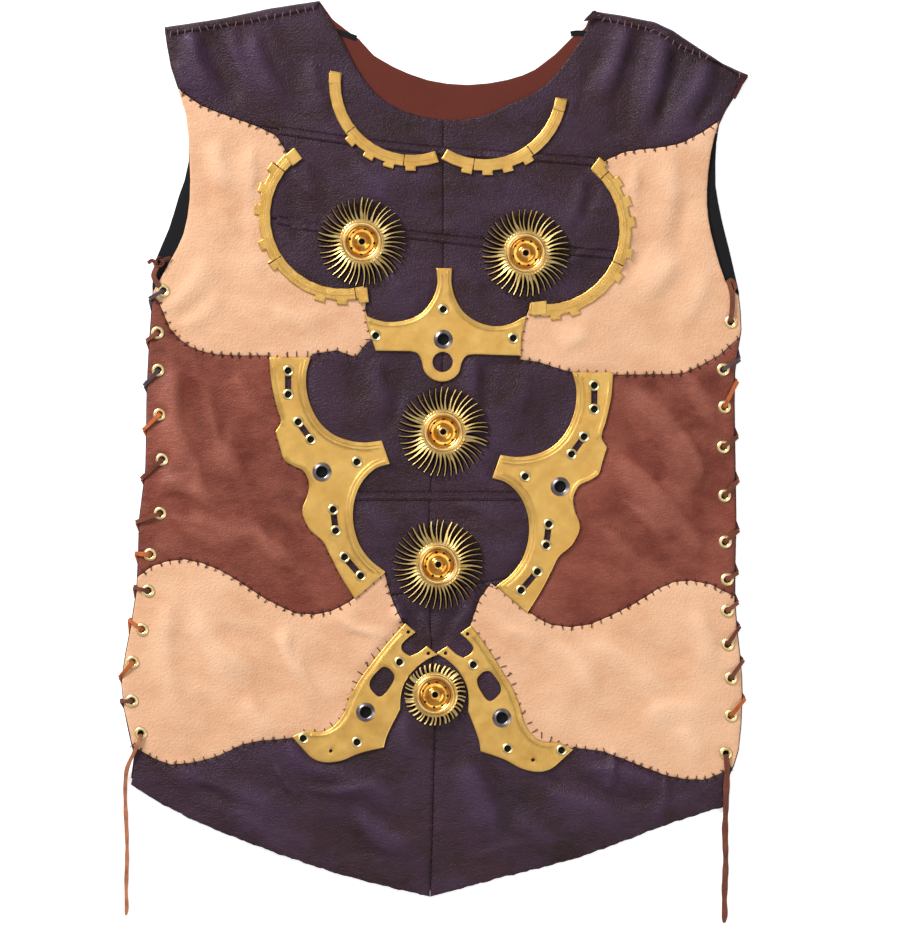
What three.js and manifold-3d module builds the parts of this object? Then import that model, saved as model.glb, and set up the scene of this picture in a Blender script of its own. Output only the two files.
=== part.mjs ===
// A sleeveless bodice of patchwork leather, laced up both sides and set with brass fittings.
// It lies flat on its back with the front up. Millimetres, +Z up, +X to the right as seen from
// above, and +Y towards the neck. Outlines are measured from the hem's point, and the finished
// garment is then moved so that its origin is the middle of its footprint, on the table.
import * as THREE from "three";
import { ConvexGeometry } from "three/addons/geometries/ConvexGeometry.js";
import { mergeVertices } from "three/addons/utils/BufferGeometryUtils.js";
import Module from "manifold-3d";

const wasm = await Module();
wasm.setup();

// ---- driving dimensions ----
const SEAM_GAP = 0.3; // between two pieces at a seam, and between two that lie on each other
const LEATHER = 1.4; // one layer
const BACK_TOP = 2; // the back is two thin layers, and rests on the table
const FRONT_UNDER = BACK_TOP + 0.4;
const FRONT_TOP = FRONT_UNDER + LEATHER;
const PATCH_TOP = FRONT_TOP + 0.4; // a patch is a little thicker than the leather it is let into
const PLATE_UNDER = PATCH_TOP + SEAM_GAP;
const PLATE_THICK = 1.1;
const SHOULDER_WRAP = 2; // from the shoulder fold to the front panel's edge inside it
const MOUND_SIDES = 6; // points round each ring of a fold's mound
const MOUND_TAPER = 0.45; // of its width and height that are left where it runs out
const MOUND_RINGS = [
  { out: 1, up: -0.5 },
  { out: 0.62, up: 0.66 },
  { out: 0.2, up: 1 },
];
const PIECE_FLATNESS = 0.15; // how far simplifying may move a finished piece's faces
const LONG_STRETCH = 21; // between two points of an outline
const TALL = 40; // height of a cutting block

const EYELET_FLANGE = 5.3; // radius, as are the next two
const EYELET_BARREL = 2.9;
const EYELET_BORE = 2.3;
const EYELET_RISE = 0.7;
const HOLE = EYELET_BARREL + 2 * SEAM_GAP; // to the corners of a six-sided hole

const THONG_WIDTH = 3.2;
const THONG_THICK = 0.9;
const SLIT = THONG_THICK + 2 * SEAM_GAP; // the back has slits for the thong, and no eyelets

const ARC_WIDTH = 9.2; // a gear arc, from its inner edge to the root of its teeth
const TOOTH_HEIGHT = 3.4;
const TOOTH_WIDTH = 8.2;

const WHEEL_RING = 16.3; // radius of the ring that carries the blades
const WHEEL_RIM = 15.2; // radii of the raised rim just inside it
const WHEEL_RIM_INNER = 12.6;
const WHEEL_BOSS = 4.7;
const WHEEL_BORE = 2.3;
const HUB_SIDES = 14;
const WHEEL_UNDER = FRONT_TOP + SEAM_GAP;

const COLOURS = {
  aubergine: { color: 0x45303c, roughness: 0.5, metalness: 0 },
  chestnut: { color: 0x7a3c28, roughness: 0.5, metalness: 0 },
  tan: { color: 0xe9c39b, roughness: 0.6, metalness: 0 },
  black: { color: 0x141416, roughness: 0.7, metalness: 0 },
  brass: { color: 0xd4a23a, roughness: 0.3, metalness: 1 },
  thong: { color: 0x7d4424, roughness: 0.7, metalness: 0 },
};

// ---- outlines of the panels: each run is a smooth curve, and two runs meet in a corner ----
const SIDE_RIGHT = [
  [241, 481], [243, 454], [238, 420], [238, 366], [239, 302], [238, 238], [242, 194], [244, 162],
  [241, 118], [234, 98], [232, 73],
];
const SIDE_LEFT = [
  [-245, 90], [-242, 112], [-250, 150], [-252, 170], [-249, 194], [-240, 246], [-238, 302],
  [-233, 342], [-232, 398], [-230, 442], [-227, 484],
];
const SHOULDER_FOLD_LEFT = [[-218, 696], [-172, 703], [-134, 711], [-94, 717]];
const SHOULDER_FOLD_RIGHT = [[124, 709], [174, 700], [201, 685], [229, 667], [249, 658]];
const SHOULDER_STITCH_LEFT = [[-213, 690], [-182, 695], [-150, 700], [-97, 711]];
const SHOULDER_STITCH_RIGHT = [[131, 702], [172, 693], [194, 680], [226, 667], [246, 654]];
const HEM_RIGHT = [[232, 73], [182, 57], [112, 31], [50, 15], [-5, 0]];
const HEM_LEFT = [[-5, 0], [-78, 18], [-166, 49], [-216, 72], [-245, 90]];

const FRONT_RUNS = [
  [
    [-94, 715], [-78, 690], [-66, 666], [-50, 644], [-27, 629], [5, 622], [34, 624], [58, 634],
    [79, 644], [95, 658], [108, 675], [118, 690], [124, 707],
  ],
  moved(SHOULDER_FOLD_RIGHT, 0, -SHOULDER_WRAP),
  [
    [249, 656], [237, 639], [226, 621], [219, 595], [216, 566], [217, 543], [222, 520],
    [231, 492], [241, 481],
  ],
  SIDE_RIGHT,
  HEM_RIGHT,
  HEM_LEFT,
  SIDE_LEFT,
  [[-227, 484], [-214, 508], [-203, 530], [-198, 558], [-198, 590], [-201, 626], [-213, 664], [-218, 694]],
  moved(SHOULDER_FOLD_LEFT, 0, -SHOULDER_WRAP),
];

const BACK_EDGE_OUT = 0.8; // how far the back's side edges stand out past the front's
const BACK_HEM_UP = 5; // how far the back's hem stays inside the front's
const BACK_RUNS = [
  [
    [-94, 717], [-84, 703], [-74, 695], [-63, 687], [-51, 674], [-36, 665], [-8, 654], [24, 650],
    [56, 654], [78, 662], [94, 674], [108, 688], [118, 695], [124, 709],
  ],
  SHOULDER_FOLD_RIGHT,
  [[249, 658], [238, 640], [226, 618], [223, 590], [223, 570], [228, 542], [234, 518], [241.8, 484]],
  moved(SIDE_RIGHT.slice(0, -1), BACK_EDGE_OUT, 0),
  moved(HEM_RIGHT, 0, BACK_HEM_UP),
  moved(HEM_LEFT, 0, BACK_HEM_UP),
  moved(SIDE_LEFT.slice(1), -BACK_EDGE_OUT, 0),
  [[-228, 489], [-225, 510], [-215, 534], [-207, 560], [-199, 588], [-201, 630], [-210, 658], [-218, 696]],
  SHOULDER_FOLD_LEFT,
];
const BACK_YOKE_SEAM = 612; // height of the seam across the back

// ---- seams of the front ----
const BUST_ARC_LEFT = { x: -75, y: 545, inner: 58.6, from: 133, to: 286 };
const BUST_ARC_RIGHT = { x: 86, y: 534, inner: 60.1, from: -101, to: 51 };
const NECK_ARC_LEFT = { x: -20, y: 650.5, inner: 57, from: 171, to: 289 };
const NECK_ARC_RIGHT = { x: 38, y: 647.5, inner: 57.5, from: 239, to: 352 };
const PATCH_UNDER_ARC = 4.4; // how far under a bust arc the bust patch reaches

// Each patch lies on the outer side of its seam; beyond closes it round outside the garment.
const PATCHES = [
  {
    name: "bust_patch_left",
    seam: [
      [[-232, 664], [-212, 650], [-190, 634], [-168, 625], [-143, 616], [-129, 609], [-119, 594]],
      arcPoints(BUST_ARC_LEFT, PATCH_UNDER_ARC, 8),
      [
        [-57, 470], [-54, 446], [-65, 432], [-80, 437], [-102, 434], [-143, 433],
        [-176, 434], [-197, 440], [-213, 454], [-224, 478], [-240, 490],
      ],
    ],
    beyond: [[-300, 490], [-300, 664]],
  },
  {
    name: "bust_patch_right",
    seam: [
      [[262, 636], [226, 621], [211, 611], [195, 603], [174, 599], [150, 596], [127, 585]],
      arcPoints(BUST_ARC_RIGHT, PATCH_UNDER_ARC, 8).reverse(),
      [
        [70, 460], [66, 442], [66, 430], [81, 428], [103, 421], [126, 418], [174, 418],
        [197, 419], [211, 425], [227, 434], [240, 446], [262, 462],
      ],
    ],
    beyond: [[300, 462], [300, 636]],
  },
  {
    name: "hip_patch_left",
    seam: [
      [
        [-262, 234], [-247, 248], [-229, 264], [-202, 270], [-175, 262], [-155, 250], [-138, 239],
        [-113, 227], [-98, 226], [-84, 229], [-63, 241], [-42, 260],
      ],
      [[-42, 260], [-36, 238], [-26, 217]],
      [
        [-26, 217], [-42, 202], [-59, 182], [-70, 162], [-76, 146], [-87, 135], [-118, 127],
        [-141, 125], [-155, 122], [-177, 112], [-198, 107], [-213, 106], [-225, 110], [-239, 118],
        [-262, 134],
      ],
    ],
    beyond: [[-300, 134], [-300, 234]],
  },
  {
    name: "hip_patch_right",
    seam: [
      [
        [262, 224], [237, 241], [219, 250], [203, 253], [190, 252], [176, 246], [157, 234],
        [139, 225], [122, 218], [106, 216], [91, 218], [72, 229], [43, 251],
      ],
      [[43, 251], [34, 238], [26, 215]],
      [
        [26, 215], [41, 199], [52, 186], [60, 174], [66, 154], [72, 142], [79, 131], [91, 126],
        [113, 119], [134, 116], [165, 104], [184, 97], [200, 94], [215, 94], [232, 101], [262, 122],
      ],
    ],
    beyond: [[300, 122], [300, 224]],
  },
];
const SIDE_FRONTS = [
  {
    name: "side_front_left",
    seam: [
      [
        [-135, 440], [-134, 416], [-130, 392], [-127, 380], [-130, 368], [-126, 354], [-111, 341],
        [-105, 328], [-110, 313], [-105, 294], [-93, 281], [-77, 251], [-64, 226],
      ],
    ],
    beyond: [[-84, 214], [-300, 214], [-300, 500], [-170, 500]],
  },
  {
    name: "side_front_right",
    seam: [
      [
        [141, 426], [140, 398], [138, 382], [134, 369], [136, 357], [131, 342], [116, 329],
        [110, 316], [114, 301], [110, 284], [97, 272], [88, 247], [70, 222],
      ],
    ],
    beyond: [[90, 204], [300, 204], [300, 480], [170, 480]],
  },
];
const CENTRE_SEAM = [[5, 640], [5, 502], [4, 410], [-2, 350], [-6, 318], [-6, 238], [-2, 130], [-6, -10]];
const CROSS_SEAMS = [
  [[-160, 620], [-76, 606], [6, 597], [78, 592], [150, 588]],
  [[-150, 547], [-96, 537], [-29, 533], [37, 526], [103, 519], [160, 515]],
  [[-130, 321], [130, 321]],
  [[-90, 240], [-6, 244], [110, 266]],
];
// A point inside each band, left and right of the centre seam.
const BANDS = [
  { name: "front_yoke", y: 608, x: 30 },
  { name: "front_chest", y: 560, x: 30 },
  { name: "front_waist", y: 500, x: 30 },
  { name: "front_belly", y: 290, x: 30 },
  { name: "front_peplum", y: 60, x: 30 },
];

// ---- the largest folds: a soft ridge along a line, with the leather lifted under it ----
const FOLDS = [
  { panel: "left shoulder", x0: -194, y0: 676, x1: -180, y1: 642, width: 13, height: 2.6 },
  { panel: "left shoulder", x0: -150, y0: 682, x1: -122, y1: 640, width: 14, height: 2.2 },
  { panel: "right shoulder", x0: 150, y0: 676, x1: 140, y1: 634, width: 13, height: 2.4 },
  { panel: "right shoulder", x0: 182, y0: 666, x1: 166, y1: 620, width: 14, height: 3 },
  { panel: "right shoulder", x0: 216, y0: 652, x1: 190, y1: 624, width: 12, height: 2.4 },
  { panel: "left bust", x0: -160, y0: 596, x1: -166, y1: 520, width: 18, height: 2 },
  { panel: "right bust", x0: 186, y0: 574, x1: 182, y1: 506, width: 18, height: 2 },
  { panel: "left side", x0: -196, y0: 404, x1: -158, y1: 334, width: 18, height: 2.6 },
  { panel: "left side", x0: -186, y0: 322, x1: -138, y1: 290, width: 15, height: 2.2 },
  { panel: "right side", x0: 156, y0: 396, x1: 196, y1: 342, width: 18, height: 2.6 },
  { panel: "right side", x0: 150, y0: 330, x1: 190, y1: 290, width: 16, height: 2.2 },
  { panel: "left hip", x0: -206, y0: 220, x1: -148, y1: 176, width: 18, height: 2.6 },
  { panel: "left hip", x0: -138, y0: 206, x1: -104, y1: 160, width: 15, height: 2 },
  { panel: "right hip", x0: 130, y0: 196, x1: 186, y1: 152, width: 18, height: 2.6 },
  { panel: "right hip", x0: 168, y0: 220, x1: 204, y1: 198, width: 14, height: 2 },
  { panel: "peplum", x0: -206, y0: 90, x1: -122, y1: 58, width: 15, height: 2.6 },
  { panel: "peplum", x0: -96, y0: 88, x1: -44, y1: 36, width: 15, height: 2.2 },
  { panel: "peplum", x0: 24, y0: 96, x1: 42, y1: 36, width: 14, height: 2.2 },
  { panel: "peplum", x0: 128, y0: 88, x1: 196, y1: 76, width: 11, height: 3 },
  { panel: "peplum", x0: 92, y0: 84, x1: 150, y1: 56, width: 12, height: 2.4 },
];

// ---- brass fittings ----
const HEART_PLATE = {
  runs: [
    [[-1, 503], [12, 503]],
    [[12, 503], [11, 494], [14, 477], [24, 464], [39, 457], [58, 458], [71, 465]],
    [[71, 465], [67, 446], [67, 433]],
    [[67, 433], [28, 434]],
    [[28, 434], [21, 431], [17, 421], [11, 414], [4, 412.5], [-4, 414], [-9, 421], [-12, 429], [-20, 436]],
    [[-20, 436], [-49, 437]],
    [[-49, 437], [-54, 452], [-58, 466]],
    [[-58, 466], [-46, 461], [-28, 459], [-12, 467], [-2, 482], [1, 493], [-1, 503]],
  ],
  holes: [{ x: 4.5, y: 428, r: 8.2 }],
  eyelets: [
    { x: 5, y: 470, size: "small" }, { x: -49, y: 449, size: "small" },
    { x: 61, y: 447, size: "small" }, { x: 5, y: 446, size: "big" },
  ],
  slots: [],
};
const HIP_PLATE = {
  runs: [
    [[-134, 432], [-101, 432]],
    [[-101, 432], [-105, 414], [-104, 399], [-95, 383], [-81, 369], [-64, 364], [-44, 365]],
    [[-44, 365], [-38, 347]],
    [[-38, 347], [-54, 337], [-65, 320], [-68, 302], [-63, 282], [-54, 270], [-41, 260]],
    [[-41, 260], [-66, 238]],
    [
      [-66, 238], [-83, 266], [-92, 284], [-103, 295], [-108, 311], [-102, 326], [-108, 339],
      [-121, 348], [-129, 373],
    ],
    [[-129, 373], [-125, 381], [-131, 402], [-134, 432]],
  ],
  holes: [],
  eyelets: [
    { x: -119, y: 421, size: "small" }, { x: -119, y: 402, size: "small" },
    { x: -111, y: 380, size: "small" }, { x: -101, y: 366, size: "small" },
    { x: -64, y: 348, size: "small" }, { x: -92, y: 340, size: "big" },
    { x: -83, y: 310, size: "small" }, { x: -81, y: 293, size: "small" },
    { x: -74, y: 272, size: "small" }, { x: -61, y: 257, size: "small" },
  ],
  slots: [
    { x0: -119, y0: 421, x1: -119, y1: 402 }, { x0: -111, y0: 380, x1: -101, y1: 366 },
    { x0: -83, y0: 310, x1: -81, y1: 293 }, { x0: -74, y0: 272, x1: -61, y1: 257 },
  ],
};
const TAIL_PLATE = {
  runs: [
    [[-25, 219], [-17, 212]],
    [[-17, 212], [-26, 204], [-29, 198], [-21, 193]],
    [[-21, 193], [-16, 196], [-8, 201]],
    [[-8, 201], [0, 195]],
    [[0, 195], [-15, 188], [-27, 175], [-30, 152], [-41, 128], [-42, 120]],
    [[-42, 120], [-62, 116], [-77, 110], [-92, 108], [-104, 115], [-116, 128]],
    [
      [-116, 128], [-102, 133], [-88, 134], [-78, 143], [-71, 158], [-62, 177], [-52, 190],
      [-38, 205], [-25, 219],
    ],
  ],
  holes: [{ x: -23, y: 212, r: 1.5 }, { x: -7, y: 195, r: 1.5 }, { x: -85, y: 117, r: 1.5 }],
  eyelets: [
    { x: -30, y: 188, size: "small" }, { x: -107, y: 127, size: "small" },
    { x: -64, y: 124, size: "small" }, { x: -57, y: 148, size: "big" },
  ],
  slots: [],
  window: [[-42, 185], [-34, 180], [-36, 170], [-44, 160], [-55, 168], [-52, 176]],
};
const PLATE_EYELETS = {
  small: { bore: 2.9 },
  big: { rim: 7.6, bore: 4.6, rise: 0.8 },
};
const SLOT_WIDTH = 5;
// The right plates are the left ones turned over about x = 0, then turned and moved.
const MIRRORED = {
  hip: { turn: -0.2, about: [90, 339], dx: 6.5, dy: -11.7 },
  tail: { turn: -5.7, about: [53, 155], dx: -4.4, dy: -4.2 },
};

const GEAR_ARCS = [
  { name: "neck_arc_left", arc: NECK_ARC_LEFT, teeth: [223, 239, 254, 269] },
  { name: "neck_arc_right", arc: NECK_ARC_RIGHT, teeth: [258, 272, 286, 301] },
  { name: "bust_arc_left", arc: BUST_ARC_LEFT, teeth: [146, 161, 176, 200, 215, 254, 269] },
  { name: "bust_arc_right", arc: BUST_ARC_RIGHT, teeth: [-83, -70, -33, -16, 5, 19, 33] },
];

const WHEELS = [
  { name: "turbine_1", x: -60, y: 524, tip: 35.4, blades: 42 },
  { name: "turbine_2", x: 71, y: 515, tip: 35, blades: 42 },
  { name: "turbine_3", x: 5, y: 372, tip: 36, blades: 42 },
  { name: "turbine_4", x: 1, y: 266, tip: 36, blades: 42 },
  { name: "turbine_5", x: -1.5, y: 162, tip: 24.8, blades: 38 },
];
const BLADE_SWEEP = 9; // degrees that a blade's tip lags behind its root
const WHEEL_HEIGHT = 5;

// ---- side eyelets, from the armhole down ----
const EYELETS_LEFT = [
  [-219, 485], [-223.5, 451.5], [-223, 421.5], [-222, 386], [-220, 350], [-221.5, 307],
  [-229.5, 274], [-231, 245], [-236, 214], [-243.5, 188], [-244, 157], [-237, 131],
];
const EYELETS_RIGHT = [
  [235, 460], [229, 422], [230, 392], [229, 360], [230, 321], [230.5, 284], [232, 254],
  [232, 229], [232.5, 202], [235, 175], [235, 145], [231, 115],
];

// How far each thong runs down from its eyelet to the side edge. On the right they run up. The
// right side's first and last eyelets have none: there the lace starts, and its free end leaves.
const DROPS_LEFT = [6, 6, 12, 12, 15, 7, -1, -3, -8, 12, 0];
const DROPS_RIGHT = [-8, -20, -8, -12, -9, -5, -6, -14, -14, -13];

// ---- the free ends of the laces: points from the last thong, each with its own height ----
const LACE_ENDS = [
  {
    name: "lace_end_left",
    width: 3.8,
    points: [
      [-237, 130.4, 6.4], [-237.6, 126, 6.4], [-240, 121, 6.4], [-242.5, 115, 5.9],
      [-245.6, 109, 4.9], [-248.2, 102, 3.2], [-249.4, 94, 1.6], [-249.8, 85, 0.9],
      [-249.6, 74, 0.9], [-249, 60, 0.9], [-248.4, 46, 0.9], [-248.3, 32, 0.9],
      [-248.7, 18, 0.9], [-249, 4, 0.9], [-248.6, -9, 0.9], [-249.2, -15, 0.9],
    ],
  },
  {
    name: "lace_end_right",
    width: 5.6,
    points: [
      [231, 114.4, 6.4], [231.4, 110, 6.4], [232, 104, 6.3], [231.8, 96, 6], [231.4, 87, 5.8],
      [231.2, 78, 5.4], [231, 70, 4.2], [230.8, 62, 2.2], [230.6, 54, 1.1], [230.8, 44, 0.9],
      [231.2, 32, 0.9], [231, 20, 0.9], [230.4, 8, 0.9], [230.2, -4, 0.9], [230.4, -14, 0.9],
      [229.8, -21, 0.9],
    ],
  },
];
const LACE_END_THICK = 1.4;

// ---- curves and solids ----

/** The same points, each moved by dx and dy. */
function moved(points, dx, dy) {
  return points.map(([x, y]) => [x + dx, y + dy]);
}

/** Points along a gear arc, out from its inner edge, in a number of equal steps. */
function arcPoints(arc, out, steps) {
  const points = [];
  for (let i = 0; i <= steps; i += 1) {
    const angle = THREE.MathUtils.degToRad(arc.from + ((arc.to - arc.from) * i) / steps);
    const radius = arc.inner + out;
    points.push([arc.x + radius * Math.cos(angle), arc.y + radius * Math.sin(angle)]);
  }
  return points;
}

const corners = (points) => points.map(([x, y]) => new THREE.Vector2(x, y));

/** The points of a smooth curve through a run, with one more in the middle of a long stretch. */
function smooth(run) {
  const points = corners(run);
  if (points.length < 3) return points;
  const curve = new THREE.SplineCurve(points);
  const stretches = points.length - 1;
  return points.flatMap((point, i) => {
    const long = i < stretches && point.distanceTo(points[i + 1]) > LONG_STRETCH;
    return long ? [point, curve.getPoint((i + 0.5) / stretches)] : [point];
  });
}

/** Runs joined end to end, without the points that repeat. */
function joined(runs) {
  const points = [];
  for (const point of runs.flatMap(smooth)) {
    const last = points[points.length - 1];
    if (!last || last.distanceTo(point) > 0.5) points.push(point);
  }
  return points;
}

/** A geometry as a solid that can be cut and joined. */
function solid(geometry) {
  const bare = geometry.clone();
  bare.deleteAttribute("normal");
  bare.deleteAttribute("uv");
  const merged = mergeVertices(bare, 1e-4);
  return new wasm.Manifold(
    new wasm.Mesh({
      numProp: 3,
      vertProperties: merged.attributes.position.array,
      triVerts: new Uint32Array(merged.index.array),
    }),
  );
}

/** A closed outline pulled up from one height to another. */
function prism(points, low, high) {
  const shape = new THREE.Shape(points);
  const geometry = new THREE.ExtrudeGeometry(shape, { depth: high - low, bevelEnabled: false });
  return solid(geometry.translate(0, 0, low));
}

/** The outline of a band of one width along a line. */
function ribbon(points, width) {
  const left = [];
  const right = [];
  points.forEach((point, i) => {
    const before = points[Math.max(i - 1, 0)];
    const after = points[Math.min(i + 1, points.length - 1)];
    const along = after.clone().sub(before).normalize();
    const across = new THREE.Vector2(-along.y, along.x).multiplyScalar(width / 2);
    left.push(point.clone().add(across));
    right.push(point.clone().sub(across));
  });
  return [...left, ...right.reverse()];
}

function cylinder(x, y, radius, low, high, sides) {
  const geometry = new THREE.CylinderGeometry(radius, radius, high - low, sides);
  geometry.rotateX(Math.PI / 2);
  return solid(geometry.translate(x, y, (low + high) / 2));
}

/** A solid of revolution about Z from [radius, height] pairs that close on themselves. */
function turned(profile, sides) {
  const points = profile.map(([r, z]) => new THREE.Vector2(r, z));
  const geometry = new THREE.LatheGeometry([...points, points[0]], sides);
  return geometry.rotateX(Math.PI / 2);
}

// ---- folds ----

/** A long mound along a fold's line, standing on a height: rings of points in one convex skin. */
function mound(fold, base) {
  const start = new THREE.Vector2(fold.x0, fold.y0);
  const end = new THREE.Vector2(fold.x1, fold.y1);
  const heading = end.clone().sub(start).angle();
  const points = [];
  for (const { out, up } of MOUND_RINGS) {
    for (let i = 0; i < MOUND_SIDES; i += 1) {
      const turn = (2 * Math.PI * (i + 0.5)) / MOUND_SIDES;
      const ahead = Math.cos(turn) > 0;
      const foot = ahead ? end : start;
      const share = ahead ? MOUND_TAPER : 1;
      const x = foot.x + out * share * fold.width * Math.cos(heading + turn);
      const y = foot.y + out * share * fold.width * Math.sin(heading + turn);
      points.push(new THREE.Vector3(x, y, base + (up < 0 ? up : up * share * fold.height)));
    }
  }
  return solid(new ConvexGeometry(points));
}

/** A sheet over the whole front between two heights, with the leather lifted in each fold. */
function foldedSheet(low, high) {
  const slab = new THREE.BoxGeometry(600, 800, high - low);
  let sheet = solid(slab.translate(0, 350, (low + high) / 2));
  for (const fold of FOLDS) sheet = sheet.add(mound(fold, high)).subtract(mound(fold, low));
  return sheet;
}

// ---- the garment ----
const garment = new THREE.Group();

/** Adds one named piece, from a solid or a geometry. */
function add(name, piece, colour) {
  let geometry = piece;
  if (!piece.isBufferGeometry) {
    const mesh = piece.simplify(PIECE_FLATNESS).getMesh();
    geometry = new THREE.BufferGeometry();
    geometry.setAttribute("position", new THREE.BufferAttribute(mesh.vertProperties, 3));
    geometry.setIndex(new THREE.BufferAttribute(mesh.triVerts, 1));
    geometry.computeVertexNormals();
  }
  const made = new THREE.Mesh(geometry, new THREE.MeshStandardMaterial(COLOURS[colour]));
  made.name = name;
  garment.add(made);
  return made;
}

/** The separate body of a solid that holds the upright line through a point. */
function bodyAt(whole, x, y) {
  const probe = cylinder(x, y, 0.5, -TALL, TALL, 6);
  return whole.decompose().find((body) => body.intersect(probe).volume() > 0);
}

/** The largest separate body of a solid. */
function largest(whole) {
  return whole.decompose().reduce((best, body) => (body.volume() > best.volume() ? body : best));
}

function eyeletHoles() {
  const holes = [...EYELETS_LEFT, ...EYELETS_RIGHT];
  return holes.map(([x, y]) => cylinder(x, y, HOLE, -TALL, TALL, 6)).reduce((a, b) => a.add(b));
}
const sideHoles = eyeletHoles();

// The front: patches and side fronts are let in, and seams part what is left.
const darkSheet = foldedSheet(FRONT_UNDER, FRONT_TOP);
const patchSheet = foldedSheet(FRONT_UNDER, PATCH_TOP);
let front = prism(joined(FRONT_RUNS), -TALL, TALL).subtract(sideHoles);

function letIn({ name, seam, beyond }, sheet, colour) {
  const line = joined(seam);
  const block = prism([...line, ...corners(beyond)], -TALL, TALL);
  add(name, largest(front.intersect(block).intersect(sheet)), colour);
  front = front.subtract(block).subtract(prism(ribbon(line, 2 * SEAM_GAP), -TALL, TALL));
}
PATCHES.forEach((patch) => letIn(patch, patchSheet, "tan"));
SIDE_FRONTS.forEach((side) => letIn(side, darkSheet, "chestnut"));

for (const seam of [CENTRE_SEAM, ...CROSS_SEAMS]) {
  front = front.subtract(prism(ribbon(smooth(seam), SEAM_GAP), -TALL, TALL));
}
for (const { name, x, y } of BANDS) {
  add(name + "_left", bodyAt(front, -x, y).intersect(darkSheet), "aubergine");
  add(name + "_right", bodyAt(front, x, y).intersect(darkSheet), "aubergine");
}

// The laces: a flat thong through each eyelet, round the side edge and up through the next one.

/** A flat length of thong from one point to another. */
function strap(start, end, low, high, width = THONG_WIDTH) {
  return prism(ribbon(corners([start, end]), width), low, high);
}

/** Where a side edge lies at a height, on the front's outline. */
function sideAt(edge, y) {
  const rows = [...edge].sort((a, b) => a[1] - b[1]);
  const next = rows.findIndex((row) => row[1] > y);
  if (next < 1) return rows[next < 0 ? rows.length - 1 : 0][0];
  const [[x0, y0], [x1, y1]] = [rows[next - 1], rows[next]];
  return THREE.MathUtils.mapLinear(y, y0, y1, x0, x1);
}

const THONG_UNDER = PLATE_UNDER + EYELET_RISE + SEAM_GAP;
const THONG_TOP = THONG_UNDER + THONG_THICK;

/** The thong's stitches: from each hole out to its bend round the side edge, and on to another. */
function stitches({ holes, drops, nexts, edge, outward }) {
  const out = BACK_EDGE_OUT + 5 * SEAM_GAP;
  return holes.map((hole, i) => {
    const turn = hole[1] - drops[i];
    const nearest = [-1, 0, 1].map((k) => outward * sideAt(edge, turn + (k * THONG_WIDTH) / 2));
    return { hole, bend: [outward * (Math.max(...nearest) + out), turn], next: nexts[i] };
  });
}
const stitchesLeft = stitches({
  holes: EYELETS_LEFT.slice(0, -1),
  drops: DROPS_LEFT,
  nexts: EYELETS_LEFT.slice(1),
  edge: SIDE_LEFT,
  outward: -1,
});
const stitchesRight = stitches({
  holes: EYELETS_RIGHT.slice(1, -1),
  drops: DROPS_RIGHT,
  nexts: EYELETS_RIGHT,
  edge: SIDE_RIGHT,
  outward: 1,
});
const lastUnderRun = EYELETS_RIGHT.slice(-2);

/** A thong's run out from its hole and down round the edge, as one bent strip. */
function bentStrap([x0, y0], [x1, y1]) {
  const run = Math.hypot(x1 - x0, y1 - y0);
  const profile = [
    [0, THONG_UNDER], [run, THONG_UNDER], [run, 0], [run + THONG_THICK, 0],
    [run + THONG_THICK, THONG_TOP], [0, THONG_TOP],
  ];
  const geometry = new THREE.ExtrudeGeometry(new THREE.Shape(corners(profile)), {
    depth: THONG_WIDTH,
    bevelEnabled: false,
  });
  geometry.translate(0, 0, -THONG_WIDTH / 2).rotateX(Math.PI / 2);
  return solid(geometry.rotateZ(Math.atan2(y1 - y0, x1 - x0)).translate(x0, y0, 0));
}

function sideLace(holes, sewn, start) {
  let lace = start;
  for (const [x, y] of holes) {
    const half = THONG_THICK / 2;
    lace = lace.add(strap([x, y - half], [x, y + half], 0, THONG_TOP));
  }
  for (const { hole, bend, next } of sewn) {
    lace = lace.add(bentStrap(hole, bend)).add(strap(bend, next, 0, THONG_THICK));
  }
  return lace;
}

const KNOT = { x: -224, y: 507, radius: 5.6, height: 2.6 };
const knot = new THREE.SphereGeometry(1, 10, 6).scale(KNOT.radius, KNOT.radius, KNOT.height);
const leftStart = solid(knot)
  .translate([KNOT.x, KNOT.y, BACK_TOP + SEAM_GAP + KNOT.height])
  .add(strap([KNOT.x, KNOT.y], EYELETS_LEFT[0], THONG_UNDER, THONG_TOP));
const rightStart = strap([237, 490], EYELETS_RIGHT[0], THONG_UNDER, THONG_TOP)
  .add(strap(...lastUnderRun, 0, THONG_THICK));
add("side_lace_left", sideLace(EYELETS_LEFT, stitchesLeft, leftStart), "thong");
add("side_lace_right", sideLace(EYELETS_RIGHT, stitchesRight, rightStart), "thong");

// The back: grooves in its underside take the laces, so that it rests flat.
const underRuns = [...stitchesLeft, ...stitchesRight].map(({ bend, next }) => {
  const outside = [0, 1].map((k) => bend[k] + 0.25 * (bend[k] - next[k]));
  return [outside, next];
});
const grooves = [...underRuns, lastUnderRun]
  .map(([from, to]) => strap(from, to, -1, THONG_THICK + SEAM_GAP, THONG_WIDTH + 2 * SEAM_GAP))
  .reduce((a, b) => a.add(b));
const slits = [...EYELETS_LEFT, ...EYELETS_RIGHT]
  .map(([x, y]) => strap([x, y - SLIT / 2], [x, y + SLIT / 2], -TALL, TALL, THONG_WIDTH + 2 * SEAM_GAP))
  .reduce((a, b) => a.add(b));
const back = prism(joined(BACK_RUNS), 0, BACK_TOP).subtract(slits).subtract(grooves);
const FAR = 400;
const aboveSeam = [[-FAR, BACK_YOKE_SEAM], [FAR, BACK_YOKE_SEAM], [FAR, 2 * FAR], [-FAR, 2 * FAR]];
const belowSeam = aboveSeam.map(([x, y]) => [x, y === BACK_YOKE_SEAM ? y - SEAM_GAP : -FAR]);

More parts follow.
